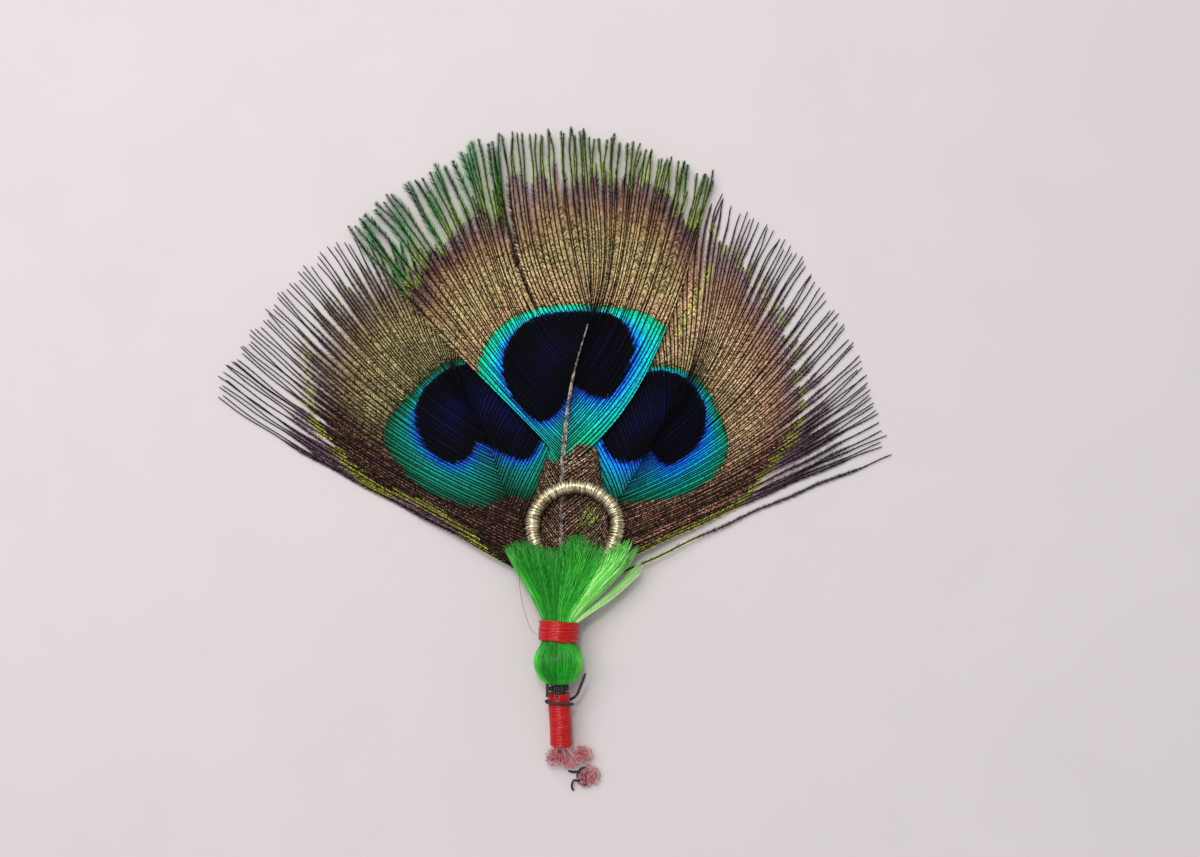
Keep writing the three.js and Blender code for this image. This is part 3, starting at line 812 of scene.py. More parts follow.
def add_barbules(pile, barb, shape, narrow, row, rows, chance):
    """Barbules on both sides of one barb. They reach the next barb, or stand free where the vane is loose."""
    path = barb["paths"]
    gone = along(path)
    length = gone[-1]
    count = int(length / BARBULE_PITCH)
    if count < 3:
        return
    place = (np.arange(count) + chance.uniform(0.2, 0.8, count)) * BARBULE_PITCH
    foot = at(path, gone, place)
    way = at(ahead_of(path), gone, place)
    zone = shifted(zones(shape, foot[:, :2]), barb["shift"])
    marks = {name: np.interp(place, gone, barb[name]) for name in CARRIED}
    marks["zone"] = zone
    free = smooth(zone, *shape["frees"])
    thread = smooth(zone, *shape["threads"])
    thread = thread * (1 - smooth(length - place, barb["bare"], barb["bare"] + 4))
    loose = shape["free_reach"] - (shape["free_reach"] - shape["tip_reach"]) * thread
    fullness = (1 + 0.9 * marks["jade"] * free) * (1 - 0.6 * smooth(place, length - 1.0, length))
    in_eye = 1 - smooth(zone, 1.95, 2.05)
    uneven = 1 - 0.8 * in_eye
    blade = len(BLADE_OUT)
    out = np.tile(BLADE_OUT, count)
    marks = {name: np.repeat(values, blade) for name, values in marks.items()}
    for side, gap in zip((-barb["turn"], barb["turn"]), barb["gaps"]):
        space = np.interp(place, gone, gap)
        alone = smooth(space, 1.3, 2.2)
        lean = np.radians(chance.normal(BARBULE_LEAN, 4, count) - LOOSE_LEAN * free)
        reach = 0.6 * np.clip(space, 0.3, 1.3) / np.sin(lean) * (1 - free) + loose * free
        reach *= narrow * chance.uniform(0.85, 1.1, count) * fullness * (1 + 0.25 * alone * free)
        width = BARBULE_PITCH * (0.95 + 0.25 * in_eye) * (1 - 0.25 * free * (1 - alone))
        twist = chance.normal(0, 0.3, count) * uneven
        tilt = chance.normal(0.04, 0.14, count) * uneven
        points, faces = blades(foot, way, reach, width, lean, twist, tilt, side)
        points[:, 2] = np.maximum(points[:, 2], FLOOR_GAP)
        across = np.tile(BLADE_SIDE, count) * np.repeat(width, blade)
        u = BARB_STRIP + (1 - BARB_STRIP) * np.clip((np.repeat(place, blade) + across) / length, 0, 1)
        v = (row + 0.52 + side * (0.09 + 0.36 * out)) / rows
        uvs = np.stack([u, v], 1)[faces].reshape(-1, 2)
        speck = np.repeat(chance.uniform(0, 1, count), blade)
        pile.add(points, faces, uvs, False, barb=barb["each"], out=out, speck=speck, **marks)


def add_shaft(pile, shape):
    """The shaft from the foot of the stem, through the tuft and along the vane."""
    aside = BUNDLE_RADIUS * math.cos(shape["bundle"])
    above = BUNDLE_RADIUS * math.sin(shape["bundle"])
    stem = np.array(STEM_PATH) + [aside, 0, above]
    stem[0] = stem[0] + (stem[1] - stem[0]) * 0.3
    rachis = np.array([place for place in shape["rachis"][: shape["shaft_end"]] if place[1] > VANE_FOOT_Y])
    if shape["shaft_shows"]:
        raise_by = np.interp(rachis[:, 1], [-6, 0, 6], [-0.15, 0.2, 0.24])
        broad, tip = 0.34, 0.09
    else:
        raise_by = np.full(len(rachis), -0.2)
        broad, tip = 0.17, 0.06
    high = lifted(rachis, shape["flat"]) + raise_by
    path = curve(np.vstack([stem, np.column_stack([rachis, high])]), 0.5)
    thin = smooth(path[:, 1], -2, path[-1, 1])
    radius = np.where(path[:, 1] > VANE_FOOT_Y, broad + (tip - broad) * thin, STEM_SHAFT)
    made = tubes(path[None], radius[None], SHAFT_SIDES, (0, 0, SHAFT_STRIP, 1), row=len(path) // 2)
    # The out mark of the shaft says how deep in painted shade each side of the tube is.
    edge = np.abs(np.cos(np.arange(SHAFT_SIDES) * 2 * np.pi / SHAFT_SIDES))
    pile.add(*made, True, 1, out=np.tile(edge, len(path)))


# How a place looks, by its zone. The centre feather's ring is the brighter.
SIDE_HEART = [(0.0, (0.045, 0.055, 0.27)), (0.55, (0.022, 0.025, 0.12)), (0.985, (0.008, 0.010, 0.03))]
CENTRE_HEART = [(0.0, (0.03, 0.032, 0.17)), (0.6, (0.015, 0.017, 0.07)), (0.985, (0.008, 0.010, 0.03))]
CENTRE_RING = [
    (1.01, (0.01, 0.16, 0.62)), (1.07, (0.02, 0.40, 0.90)), (1.20, (0.0, 0.60, 0.84)),
    (1.38, (0.0, 0.72, 0.76)), (1.70, (0.0, 0.74, 0.63)), (1.96, (0.0, 0.70, 0.50)),
]
LEFT_RING = [
    (1.01, (0.01, 0.12, 0.50)), (1.08, (0.0, 0.36, 0.80)), (1.20, (0.0, 0.47, 0.62)),
    (1.38, (0.0, 0.50, 0.46)), (1.70, (0.0, 0.43, 0.33)), (1.96, (0.0, 0.30, 0.21)),
]
RIGHT_RING = [
    (1.01, (0.01, 0.15, 0.66)), (1.10, (0.0, 0.46, 1.0)), (1.28, (0.0, 0.58, 0.90)),
    (1.50, (0.0, 0.60, 0.70)), (1.75, (0.0, 0.60, 0.52)), (1.96, (0.0, 0.52, 0.38)),
]
CENTRE_BRONZE = [
    (2.0, (0.34, 0.34, 0.17)), (2.04, (0.86, 0.70, 0.52)), (2.45, (0.83, 0.74, 0.51)),
    (2.70, (0.76, 0.61, 0.44)), (2.88, (0.54, 0.38, 0.37)),
]
LEFT_BRONZE = [
    (2.0, (0.30, 0.34, 0.16)), (2.06, (0.66, 0.61, 0.42)), (2.45, (0.74, 0.67, 0.46)),
    (2.75, (0.56, 0.46, 0.36)), (2.93, (0.38, 0.30, 0.29)),
]
RIGHT_BRONZE = [
    (2.0, (0.32, 0.36, 0.18)), (2.06, (0.80, 0.68, 0.50)), (2.45, (0.92, 0.76, 0.58)),
    (2.75, (0.74, 0.55, 0.43)), (2.93, (0.50, 0.34, 0.36)),
]
CENTRE_RIM = [
    (2.985, (0.32, 0.25, 0.24)), (3.04, (0.62, 0.70, 0.30)), (3.3, (0.48, 0.60, 0.27)),
    (3.6, (0.28, 0.42, 0.24)), (4.0, (0.18, 0.28, 0.20)),
]
SIDE_RIM = [
    (2.98, (0.26, 0.20, 0.16)), (3.0, (0.82, 0.82, 0.30)), (3.05, (0.72, 0.72, 0.30)),
    (3.095, (0.52, 0.40, 0.47)), (3.4, (0.36, 0.30, 0.32)), (3.9, (0.20, 0.17, 0.18)),
]
# The brown of the low barbs, from dark streaks to light ones.
CENTRE_BROWNS = [(0.0, (0.33, 0.25, 0.21)), (0.6, (0.68, 0.54, 0.44)), (1.0, (0.98, 0.84, 0.70))]
RIGHT_BROWNS = [(0.0, (0.32, 0.23, 0.19)), (0.6, (0.60, 0.43, 0.36)), (1.0, (0.86, 0.63, 0.53))]
LEFT_BROWNS = [(0.0, (0.17, 0.12, 0.10)), (0.6, (0.36, 0.25, 0.21)), (1.0, (0.62, 0.43, 0.36))]
# A barbule's light and dark flecks.
GLINTS = [(0.0, (0.30,) * 3), (0.3, (0.72,) * 3), (0.75, (0.94,) * 3), (1.0, (1.0,) * 3)]
EYE_GLINT = (0.95, 0.95, 0.95)
JADE = (0.16, 0.62, 0.30)
LIME = (0.80, 0.90, 0.36)
OLIVE = (0.25, 0.24, 0.17)
SPLIT_COLOUR = (0.09, 0.07, 0.06)
RAMUS_COLOUR = (0.085, 0.07, 0.06)
HEART_RAMUS = (0.012, 0.012, 0.035)
HORN = (0.98, 0.86, 0.80)
DARK_HORN = (0.16, 0.13, 0.12)
HORN_SHADE = (0.10, 0.08, 0.08)
# Dull is how far the bright edge of the bronze gives way to olive higher up the feather.
LOOKS = (
    (CENTRE, {
        "eye": CENTRE_HEART + CENTRE_RING, "beyond": CENTRE_BRONZE + CENTRE_RIM, "browns": CENTRE_BROWNS,
        "dull": 0.0, "horn": HORN,
    }),
    (LEFT, {
        "eye": SIDE_HEART + LEFT_RING, "beyond": LEFT_BRONZE + SIDE_RIM, "browns": LEFT_BROWNS,
        "dull": 0.9, "horn": DARK_HORN,
    }),
    (RIGHT, {
        "eye": SIDE_HEART + RIGHT_RING, "beyond": RIGHT_BRONZE + SIDE_RIM, "browns": RIGHT_BROWNS,
        "dull": 0.6, "horn": DARK_HORN,
    }),
)


def bronze_and_rim(paint, zone, place, speck, look):
    """The colours outside the eye, where brown takes over low on the feather."""
    colour = paint.ramp(paint.scaled(place, 0.5, -1.0), [((p - 2) / 2, c) for p, c in look["beyond"]])
    colour = paint.shaded(colour, paint.fit(paint.noise(260.0, 4.0, 0.6), 0.3, 0.7, 0.78, 1.2))
    streak = paint.maths(
        "ADD", paint.times(paint.mark("barb"), 0.35), paint.times(paint.times(speck, speck), 0.6)
    )
    brown = paint.mark("brown")
    low = paint.times(paint.fit(brown, 0.0, 1.0), paint.fit(zone, 2.9, 3.0, 1.0, 0.0))
    colour = paint.mix(low, colour, paint.ramp(streak, look["browns"]))
    high = paint.times(paint.fit(brown, 0.0, 0.7, look["dull"], 0.0), paint.fit(zone, 2.96, 3.0))
    colour = paint.mix(high, colour, OLIVE)
    colour = paint.mix(paint.fit(brown, 1.2, 1.5, 0.0, 0.6), colour, SPLIT_COLOUR)
    jade = paint.times(paint.mark("jade"), paint.fit(zone, 3.0, 3.12))
    return paint.mix(jade, colour, JADE)


def vane_paint(name, look):
    """The colours of a vane. Two ramps run through the zones, one in the eye and one beyond it."""
    paint = Paint(name, 0.5, specular=0.06)
    zone = paint.mark("zone")
    speck = paint.mark("speck")
    lime = paint.mark("lime")
    place = paint.maths("ADD", zone, paint.scaled(speck, 0.06, -0.03))
    eye = paint.ramp(paint.times(place, 0.5), [(p / 2, c) for p, c in look["eye"]])
    eye = paint.shaded(eye, paint.fit(paint.mark("start"), 0.0, 1.0, 0.45, 1.0))
    beyond = bronze_and_rim(paint, zone, place, speck, look)
    colour = paint.mix(paint.fit(zone, 1.985, 2.015), eye, beyond)
    colour = paint.mix(lime, colour, LIME)
    in_eye = paint.fit(zone, 1.98, 2.02, 1.0, 0.0)
    glint = paint.mix(paint.times(in_eye, 0.6), paint.ramp(speck, GLINTS), EYE_GLINT)
    colour = paint.mix(1.0, colour, glint, "MULTIPLY")
    # Each barbule is painted dark at its foot by the ramus and lighter towards its tip, and the web below,
    # with its low out mark, darker still: partly the barbs' own dark, partly painted shade between the barbs.
    root = paint.fit(paint.mark("out"), 0.08, 0.55, 0.08, 1.5)
    colour = paint.shaded(colour, paint.times(root, paint.fit(paint.mark("barb"), 0.0, 1.0, 0.78, 1.18)))
    dark = paint.mix(0.08, RAMUS_COLOUR, colour)
    dark = paint.mix(paint.fit(zone, 0.97, 1.0, 1.0, 0.0), dark, HEART_RAMUS)
    ramus = paint.times(paint.mark("ramus"), paint.fit(lime, 0.0, 1.0, 1.0, 0.2))
    colour = paint.mix(ramus, colour, dark)
    in_ring = paint.times(paint.fit(zone, 0.97, 1.03), in_eye)
    return paint.finish(colour, paint.scaled(in_ring, -0.25, 0.68), paint.times(in_ring, 0.3))


def shaft_paint(name, pale):
    """Horn, mottled dark and light along its length, with painted shade on two opposite faces of the tube."""
    paint = Paint(name, 0.4)
    mottle = paint.fit(paint.noise(1100.0, 3.0, 0.7), 0.44, 0.56)
    colour = paint.mix(mottle, tuple(0.26 * c for c in pale), pale)
    # Painted shade, darkest where the out mark is high.
    edge = paint.fit(paint.mark("out"), 0.6, 0.9, 0.0, 0.8)
    return paint.finish(paint.mix(edge, colour, HORN_SHADE))


def make_feathers():
    for number, (shape, look) in enumerate(LOOKS):
        chance = np.random.default_rng(SEED + number)
        for contour, spacing in CONTOUR_SPACING.items():
            shape[contour + "_line"] = curve(shape[contour], spacing, closed=True)
        pile = Pile("barb", "out", "speck", "ramus", *CARRIED)
        add_vane(pile, shape, chance)
        add_shaft(pile, shape)
        name = shape["name"]
        paints = [vane_paint(name + "_vane", look), shaft_paint(name + "_shaft", look["horn"])]
        pile.build(name + "_barbs", paints, name)


# ================= the silk tuft =================
# Each station is y, half the width, half the height, as in the CAD.
TUFT_STATIONS = np.array([
    (-34.5, 1.5, 1.5), (-34.2, 2.1, 2.1), (-33.5, 2.75, 2.75), (-32.6, 3.25, 3.25), (-31.6, 3.42, 3.42),
    (-30.6, 3.3, 3.3), (-29.7, 2.85, 2.85), (-29.0, 2.3, 2.3), (-25.6, 2.3, 2.3), (-22.5, 4.2, 2.75),
    (-18.5, 7.4, 3.15), (-15.7, 9.35, 3.25), (-13.5, 10.6, 3.25),
])
# The skein bulges on the right, where its edge runs straight up to the corner of the mouth.
TUFT_BULGE = np.array([(-26.5, 0.0), (-25.6, 0.3), (-22.5, 1.3), (-18.5, 1.3), (-15.7, 1.0), (-13.5, 1.0)])
TUFT_STRANDS = 1150
STRAND_STEPS = 26
STRAND_RADIUS = 0.065
FRONT_SHARE = 0.66
# How far up the front strands reach, from the left edge of the mouth to the right, and the back ones.
SILK_EDGE = np.array([
    (-7.2, -17.0), (-6.0, -15.9), (-4.1, -15.3), (-1.5, -16.1), (1.2, -16.6), (2.4, -14.9), (3.9, -14.6),
    (5.3, -15.4), (7.2, -16.6), (9.4, -16.2), (10.8, -15.0), (11.6, -16.6), (12.2, -18.2),
])
BACK_EDGE = -16.0
LOCK_STRANDS = 34
CORE_Y = (-34.4, -17.4)
CORE_GROOVES = ((24, 0.018), (41, 0.01))   # how many there are and how deep, in shares of the radius


def tuft_point(y, turn, depth=1.0):
    """A place on the outside of the tuft, or inside it where depth is under 1."""
    width = np.interp(y, TUFT_STATIONS[:, 0], TUFT_STATIONS[:, 1])
    height = np.interp(y, TUFT_STATIONS[:, 0], TUFT_STATIONS[:, 2])
    wide = smooth(y, -25.6, MOUTH[1])
    power = 2 + wide
    x, z = np.cos(turn), np.sin(turn)
    width = width + np.interp(y, TUFT_BULGE[:, 0], TUFT_BULGE[:, 1]) * np.clip(2 * x, 0, 1)
    reach = depth * (np.abs(x) ** power + np.abs(z) ** power) ** (-1 / power)
    middle = AXIS_X + (MOUTH[0] - AXIS_X) * wide
    return np.stack([middle + width * reach * x, y + 0 * turn, AXIS_Z + height * reach * z], -1)


def strand_lights(y, turn, tip_x, chance):
    """How light each strand is at each step: 0 deep green, 1 pale lime."""
    light = 0.30 + chance.normal(0, 0.10, len(turn))
    light += 0.55 * smooth(tip_x, 6.0, 9.5)
    light += 0.30 * smooth(-tip_x, 5.6, 6.8)
    light += 0.05 * smooth(-tip_x, 2.0, 5.0)
    light += 0.18 * np.exp(-(((tip_x - 4.0) / 2.0) ** 2))
    light = np.clip(light, 0, 1)[:, None]
    # Below the neck no strand is pale, but the edges of the bulb catch the light.
    most = 0.42
    light = np.where(light > most, most + (light - most) * smooth(y, -29.0, -25.5), light)
    return light + 0.3 * smooth(np.abs(np.cos(turn)), 0.6, 1.0)[:, None] * (1 - smooth(y, -31.0, -29.0))


def add_strands(pile, chance):
    """Strands on the outside of the tuft, more of them on the front than on the back."""
    count = TUFT_STRANDS
    # They are even across the tuft, which a circle's turn would not be.
    turn = np.arccos(np.clip(chance.uniform(-1.02, 1.02, count), -0.999, 0.999))
    front = chance.uniform(0, 1, count) < FRONT_SHARE
    turn = np.where(front, turn, -turn)
    depth = chance.uniform(0.9, 1.0, count)[:, None]
    tip_x = tuft_point(np.full(count, MOUTH[1]), turn)[:, 0]
    edge = np.interp(tip_x, SILK_EDGE[:, 0], SILK_EDGE[:, 1])
    end = np.where(front, edge, BACK_EDGE) - chance.exponential(0.5, count) + 0.5
    start = chance.uniform(-34.5, -34.2, count)
    share = np.linspace(0, 1, STRAND_STEPS)
    y = start[:, None] + (end - start)[:, None] * share
    drift = chance.normal(0, 0.05, count)[:, None] * smooth(y, -25, -15)
    phase = chance.uniform(0, 6.3, count)[:, None]
    wave = 0.02 * np.sin(phase + y * chance.uniform(0.6, 1.6, count)[:, None])
    paths = tuft_point(y, turn[:, None] + drift + wave, depth)
    paths[..., 2] += chance.normal(0, 0.12, count)[:, None] * smooth(y, -18, -14.5)
    light = strand_lights(y, turn, tip_x, chance)
    radius = STRAND_RADIUS * chance.uniform(0.7, 1.25, count)[:, None] * (1 - 0.6 * smooth(share, 0.9, 1.0))
    pile.add_tubes(paths, radius, 3, (0, 0.1, 1, 1), light=light, along=np.tile(share, count))


def add_stray_lock(pile, chance):
    """A thin pale lock that stands off from the right edge of the tuft."""
    middle = curve([(3.0, -26.4, 4.2), (5.2, -24.7, 3.7), (8.9, -21.9, 3.1), (12.6, -18.3, 2.9)], 0.6)
    share = np.linspace(0, 1, len(middle))
    spread = chance.normal(0, 1, (LOCK_STRANDS, 1, 3)) * (0.10 + 0.24 * share)[None, :, None]
    stop = chance.uniform(0.75, 1.0, LOCK_STRANDS)
    paths = np.array([at(path, share, share * end) for path, end in zip(middle[None] + spread, stop)])
    light = np.repeat(chance.uniform(0.85, 1.15, LOCK_STRANDS), len(middle))
    pile.add_tubes(paths, 0.8 * STRAND_RADIUS, 3, (0, 0.05, 1, 0.1), light=light, along=0.5)


def add_tuft_core(pile):
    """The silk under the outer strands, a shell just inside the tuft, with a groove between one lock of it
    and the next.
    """
    around, steps, map_height = 96, 40, 0.05
    y = np.linspace(*CORE_Y, steps)[:, None]
    turn = np.arange(around) * 2 * np.pi / around
    depth = 0.9 + sum(deep * np.cos(turn * count) for count, deep in CORE_GROOVES)
    points = tuft_point(y + 0 * turn, turn + 0 * y, depth + 0 * y).reshape(-1, 3)
    _, step, side, corners = squares(1, steps, around)
    du, dv = 1 / (steps - 1), map_height / around
    faces, uvs = triangles(corners, ("adb", "dcb"), step * du, side * dv, du, dv)
    # Each end is closed by triangles to a point in its middle.
    ring = np.arange(around)
    after = (ring + 1) % around
    low, high = len(points), len(points) + 1
    top = low - around
    faces.append(np.stack([np.full(around, low), after, ring], -1))
    faces.append(np.stack([np.full(around, high), top + ring, top + after], -1))
    for end_u in (0.0, 1.0):
        spot = np.stack([np.full(around, end_u), ring * dv], -1)
        uvs.append(np.repeat(spot, 3, axis=0))
    points = np.vstack([points, points[:around].mean(0), points[-around:].mean(0)])
    along_it = np.append(np.repeat(np.linspace(0, 0.9, steps), around), [0, 0.9])
    pile.add(points, np.vstack(faces), np.vstack(uvs), light=0.12, along=along_it)


def silk_paint():
    paint = Paint("green_silk", 0.36, specular=0.3)
    light = paint.maths("ADD", paint.mark("light"), paint.scaled(paint.noise(500.0), 0.3, -0.15))
    colour = paint.ramp(light, [
        (0.0, (0.04, 0.27, 0.04)), (0.3, (0.09, 0.51, 0.10)), (0.5, (0.14, 0.68, 0.15)),
        (0.75, (0.40, 0.90, 0.30)), (1.0, (0.80, 0.98, 0.66)),
    ])
    tip = paint.fit(paint.mark("along"), 0.9, 1.0, 0.0, 0.45)
    return paint.finish(paint.mix(tip, colour, (0.42, 0.86, 0.42)))


def make_tuft():
    chance = np.random.default_rng(SEED + 10)
    pile = Pile("light", "along")
    add_strands(pile, chance)
    add_stray_lock(pile, chance)
    add_tuft_core(pile)
    pile.build("silk_strands", [silk_paint()], "silk_tuft")


# ================= the thread bindings =================
THREAD = 0.10                      # half the thickness of the red thread
NECK_TURNS = 15
NECK_RADIUS = 2.71                 # to the middle of the thread, as in the two below
NECK_HALF = 1.33
NECK_TILT = math.radians(-3.4)
STEM_TURNS = 36
STEM_RADIUS = 1.44
BULB_TIE_TURNS = 2.5
BULB_TIE_RADIUS = 1.34
BULB_TIE_ENDS = (164, 150, 140, 123, 108, 97, 76, 205)   # degrees round the stem
STEM_TIE_MIDDLE = (1.22, -37.2, 3.27)
STEM_TIE_RADIUS = 1.78
STEM_TIE_RISE = 0.75               # along the stem in its one turn
KNOT_MIDDLE = (4.1, -46.95, 0.72)
KNOT_SIZE = 0.42
KNOT_OPENING = 0.45                # the part of a closed trefoil, in radians, that is left out at each end
STRAY_HAIR = [
    (-0.9, -28.2, 3.4), (-2.6, -27.3, 3.3), (-3.7, -24.6, 3.6), (-4.3, -21.5, 4.4), (-4.3, -17.6, 5.6),
]


def thread_paint(name, colour, roughness, light=0.5):
    """Thread, a little lighter and darker from place to place."""
    paint = Paint(name, roughness)
    shade = paint.maths("ADD", paint.mark("light"), paint.scaled(paint.noise(900.0), 0.5, -0.25))
    dark = tuple(0.62 * c for c in colour)
    pale = tuple(c + light * (1 - c) * 0.35 for c in colour)
    return paint.finish(paint.mix(shade, dark, pale))


def add_coil(pile, axis, radius, turns, thread, area, light=0.5, per_turn=30, start=0.0):
    path = coil(axis, radius, turns, per_turn, start)
    pile.add_tubes(path[None], thread, 6, area, row=per_turn * 3, light=light)


def add_core(pile, axis, radius, area):
    """What the thread is wound on."""
    pile.add_tubes(axis[None], radius, 24, area, light=0.1)


def add_two_ply(pile, points, ply, offset, twist):
    """Thread of two plies twisted round each other along a path."""
    axis = curve(points, 0.12)
    turns = along(axis)[-1] / twist
    for number in range(2):
        path = coil(axis, offset, turns, 9, start=number * math.pi)
        radius = ply * (1 - 0.5 * smooth(np.linspace(0, 1, len(path)), 0.97, 1.0))
        pile.add_tubes(path[None], radius, 6, (0, number / 2, 1, (number + 1) / 2), row=60, light=0.5)


def make_neck_band(red):
    """Red thread wound round the neck of the tuft, a little askew, with one stray hair."""
    pile = Pile("light")
    ahead = np.array([-math.sin(NECK_TILT), math.cos(NECK_TILT), 0])
    middle = np.array([AXIS_X, NECK_Y, AXIS_Z])
    axis = np.array([middle - NECK_HALF * ahead, middle, middle + NECK_HALF * ahead])
    add_core(pile, axis, NECK_RADIUS - 0.13, (0, 0, 1, 0.1))
    add_coil(pile, axis, NECK_RADIUS, NECK_TURNS, THREAD, (0, 0.1, 1, 0.5))
    # The last turns cross over the others at a slant.
    for number, (low, high, start) in enumerate([(-1.1, 0.2, 0.6), (-0.3, 1.0, 2.4), (0.1, 1.25, 4.2)]):
        slant = np.array([middle + place * ahead for place in (low, 0.5 * (low + high), high)])
        area = (0, 0.5 + 0.15 * number, 1, 0.65 + 0.15 * number)
        add_coil(pile, slant, NECK_RADIUS + 0.09, 1.1, THREAD, area, light=0.75, start=start)
    pile.add_tubes(curve(STRAY_HAIR, 0.3)[None], 0.03, 5, (0, 0.95, 1, 1), light=0.2)
    pile.build("neck_thread", [red], "neck_band")


def make_stem_wrap(red):
    """Red thread wound round the shafts, with a few turns at a slant over the others."""
    pile = Pile("light")
    top = np.array(STEM_PATH[2]) * 0.42 + np.array(STEM_PATH[3]) * 0.58
    axis = curve([*STEM_PATH[:3], top], 0.35)
    add_core(pile, axis, STEM_RADIUS - 0.11, (0, 0, 1, 0.1))
    add_coil(pile, axis, STEM_RADIUS, STEM_TURNS, 1.05 * THREAD, (0, 0.1, 1, 0.85), per_turn=24)
    over = STEM_RADIUS + 0.02
    # The turns at a slant are painted lighter than the others, as highlights on the wrap.
    for number, start in enumerate((0.4, 2.2, 4.0)):
        piece = axis[3 + 5 * number: 10 + 5 * number]
        area = (0, 0.85 + 0.05 * number, 1, 0.9 + 0.05 * number)
        add_coil(pile, piece, over, 1.2, 1.1 * THREAD, area, light=0.62, per_turn=24, start=start)
    pile.build("stem_thread", [red], "stem_wrap")


def make_bulb_tie(black):
    """Turns of black thread under the bulb, with short ends that lie down over the red wrap."""
    chance = np.random.default_rng(SEED + 20)
    pile = Pile("light")
    middle = np.array([AXIS_X, 0, AXIS_Z])
    axis = middle + [(0.04, -35.3, -0.03), (0.03, -35.0, -0.02), (0, -34.7, 0)]
    add_core(pile, axis, BULB_TIE_RADIUS - 0.08, (0, 0, 1, 0.2))
    add_coil(pile, axis, BULB_TIE_RADIUS, BULB_TIE_TURNS, 0.13, (0, 0.2, 1, 0.6))
    ends = []
    for degrees in BULB_TIE_ENDS:
        turn = math.radians(degrees + chance.normal(0, 3))
        ring = np.array([math.cos(turn), 0, math.sin(turn)])
        low = chance.uniform(-36.4, -35.7)
        rows = [(-34.15, 1.75), (-34.7, 1.66), (low + 0.3, 1.66), (low, 1.62)]
        ends.append(evened(curve([middle + reach * ring + [0, y, 0] for y, reach in rows], 0.1), 18))
    pile.add_tubes(ends, 0.1, 6, (0, 0.6, 1, 1), light=0.4)
    pile.build("bulb_thread", [black], "bulb_tie")


def make_stem_tie(black):
    """Black thread once round the stem, with its tail standing off to the right."""
    pile = Pile("light")
    points = []
    for degrees in range(-20, 351, 20):
        turn = math.radians(degrees)
        offset = (math.cos(turn), 0, math.sin(turn))
        rise = [0, STEM_TIE_RISE * (degrees + 20) / 370, 0]
        points.append(np.array(STEM_TIE_MIDDLE) + STEM_TIE_RADIUS * np.array(offset) + rise)
    points += [(3.6, -35.9, 3.3), (4.2, -34.6, 3.9), (4.8, -33.0, 4.6)]
    add_two_ply(pile, points, 0.13, 0.10, 0.9)
    pile.build("stem_knot_thread", [black], "stem_tie")


def make_end_knot(black):
    """An overhand knot, which is most of a trefoil, with its two ends led away."""
    pile = Pile("light")
    points = [(3.1, -48.9, 0.24), (2.9, -48.2, 0.45)]
    for t in np.linspace(math.pi + KNOT_OPENING, 3 * math.pi - KNOT_OPENING, 25):
        x = math.cos(t) - 2 * math.cos(2 * t)
        y = -math.sin(t) - 2 * math.sin(2 * t)
        points.append(np.array(KNOT_MIDDLE) + KNOT_SIZE * np.array([x, y, -1.1 * math.sin(3 * t)]))
    points.append((2.4, -46.25, 0.7))
    add_two_ply(pile, points, 0.1, 0.08, 0.7)
    pile.build("end_knot_thread", [black], "end_knot")


# Each lobe of frayed red fibre: its middle, its half sizes and how many fibres curl in it.
FRAY_LOBES = [
    ((0.9, -44.3, 1.3), (1.6, 1.3, 1.0), 105), ((4.4, -44.0, 1.3), (1.5, 1.1, 1.0), 80),
    ((2.6, -45.2, 1.2), (1.5, 0.8, 0.8), 45), ((5.2, -47.0, 0.75), (1.7, 1.4, 0.6), 75),
]
FRAY_FIBRE = 0.038
FRAY_STEPS = 16


def lobe_fibres(middle, half, count, chance):
    """Curled fibres, drawn in towards the lobe where they leave it."""
    spot = chance.normal(0, 0.42, (count, 3)) * half + middle
    way = unit(chance.normal(0, 1, (count, 3)))
    bend = chance.normal(0, 1, (count, 3))
    t = np.linspace(-1, 1, FRAY_STEPS)[None, :, None]
    reach = chance.uniform(0.5, 1.0, (count, 1, 1)) * min(half[:2])
    path = spot[:, None] + reach * (way[:, None] * t + 0.55 * bend[:, None] * (t * t - 0.33))
    path += 0.06 * np.sin(5 * t + chance.uniform(0, 6.3, (count, 1, 3)))
    over = np.linalg.norm((path - middle) / half, axis=2, keepdims=True)
    path = middle + (path - middle) * np.maximum(over, 1) ** -0.8
    path[..., 2] = np.maximum(path[..., 2], 0.1)
    return path


def make_thread_ends(red):
    """Loose red fibres, curled and tangled in lobes, below the foot of the stem."""
    chance = np.random.default_rng(SEED + 30)
    pile = Pile("light")
    paths, light = [], []
    for middle, half, count in FRAY_LOBES:
        paths.append(lobe_fibres(middle, half, count, chance))
        light.append(chance.uniform(0.1, 1.0, count))
    light = np.repeat(np.concatenate(light), FRAY_STEPS)
    pile.add_tubes(np.vstack(paths), FRAY_FIBRE, 3, (0, 0, 1, 0.8), light=light)
    # The thread that leads from the foot of the stem into the tangle.
    for number, aside in enumerate((-0.55, 0.05, 0.6)):
        lead = [(1.5 + aside, -42.3, 2.2), (1.6 + 1.3 * aside, -43.2, 1.9), (2.0 + 2.2 * aside, -44.3, 1.4)]
        area = (0, 0.8 + 0.06 * number, 1, 0.86 + 0.06 * number)
        pile.add_tubes(curve(lead, 0.1)[None], 0.16, 6, area, light=0.6)
    pile.build("frayed_fibres", [red], "thread_ends")


# ================= the gold loop =================
LOOP_MIDDLE = (3.3, -12.8)
LOOP_HALF = (6.0, 5.5)
LOOP_CORD = 0.95
LOOP_WIRE = 0.14
LOOP_TURN_PITCH = 0.27
LOOP_GAP = 0.55                    # from the middle of the vane to the underside of the cord
LOOP_PER_TURN = 18


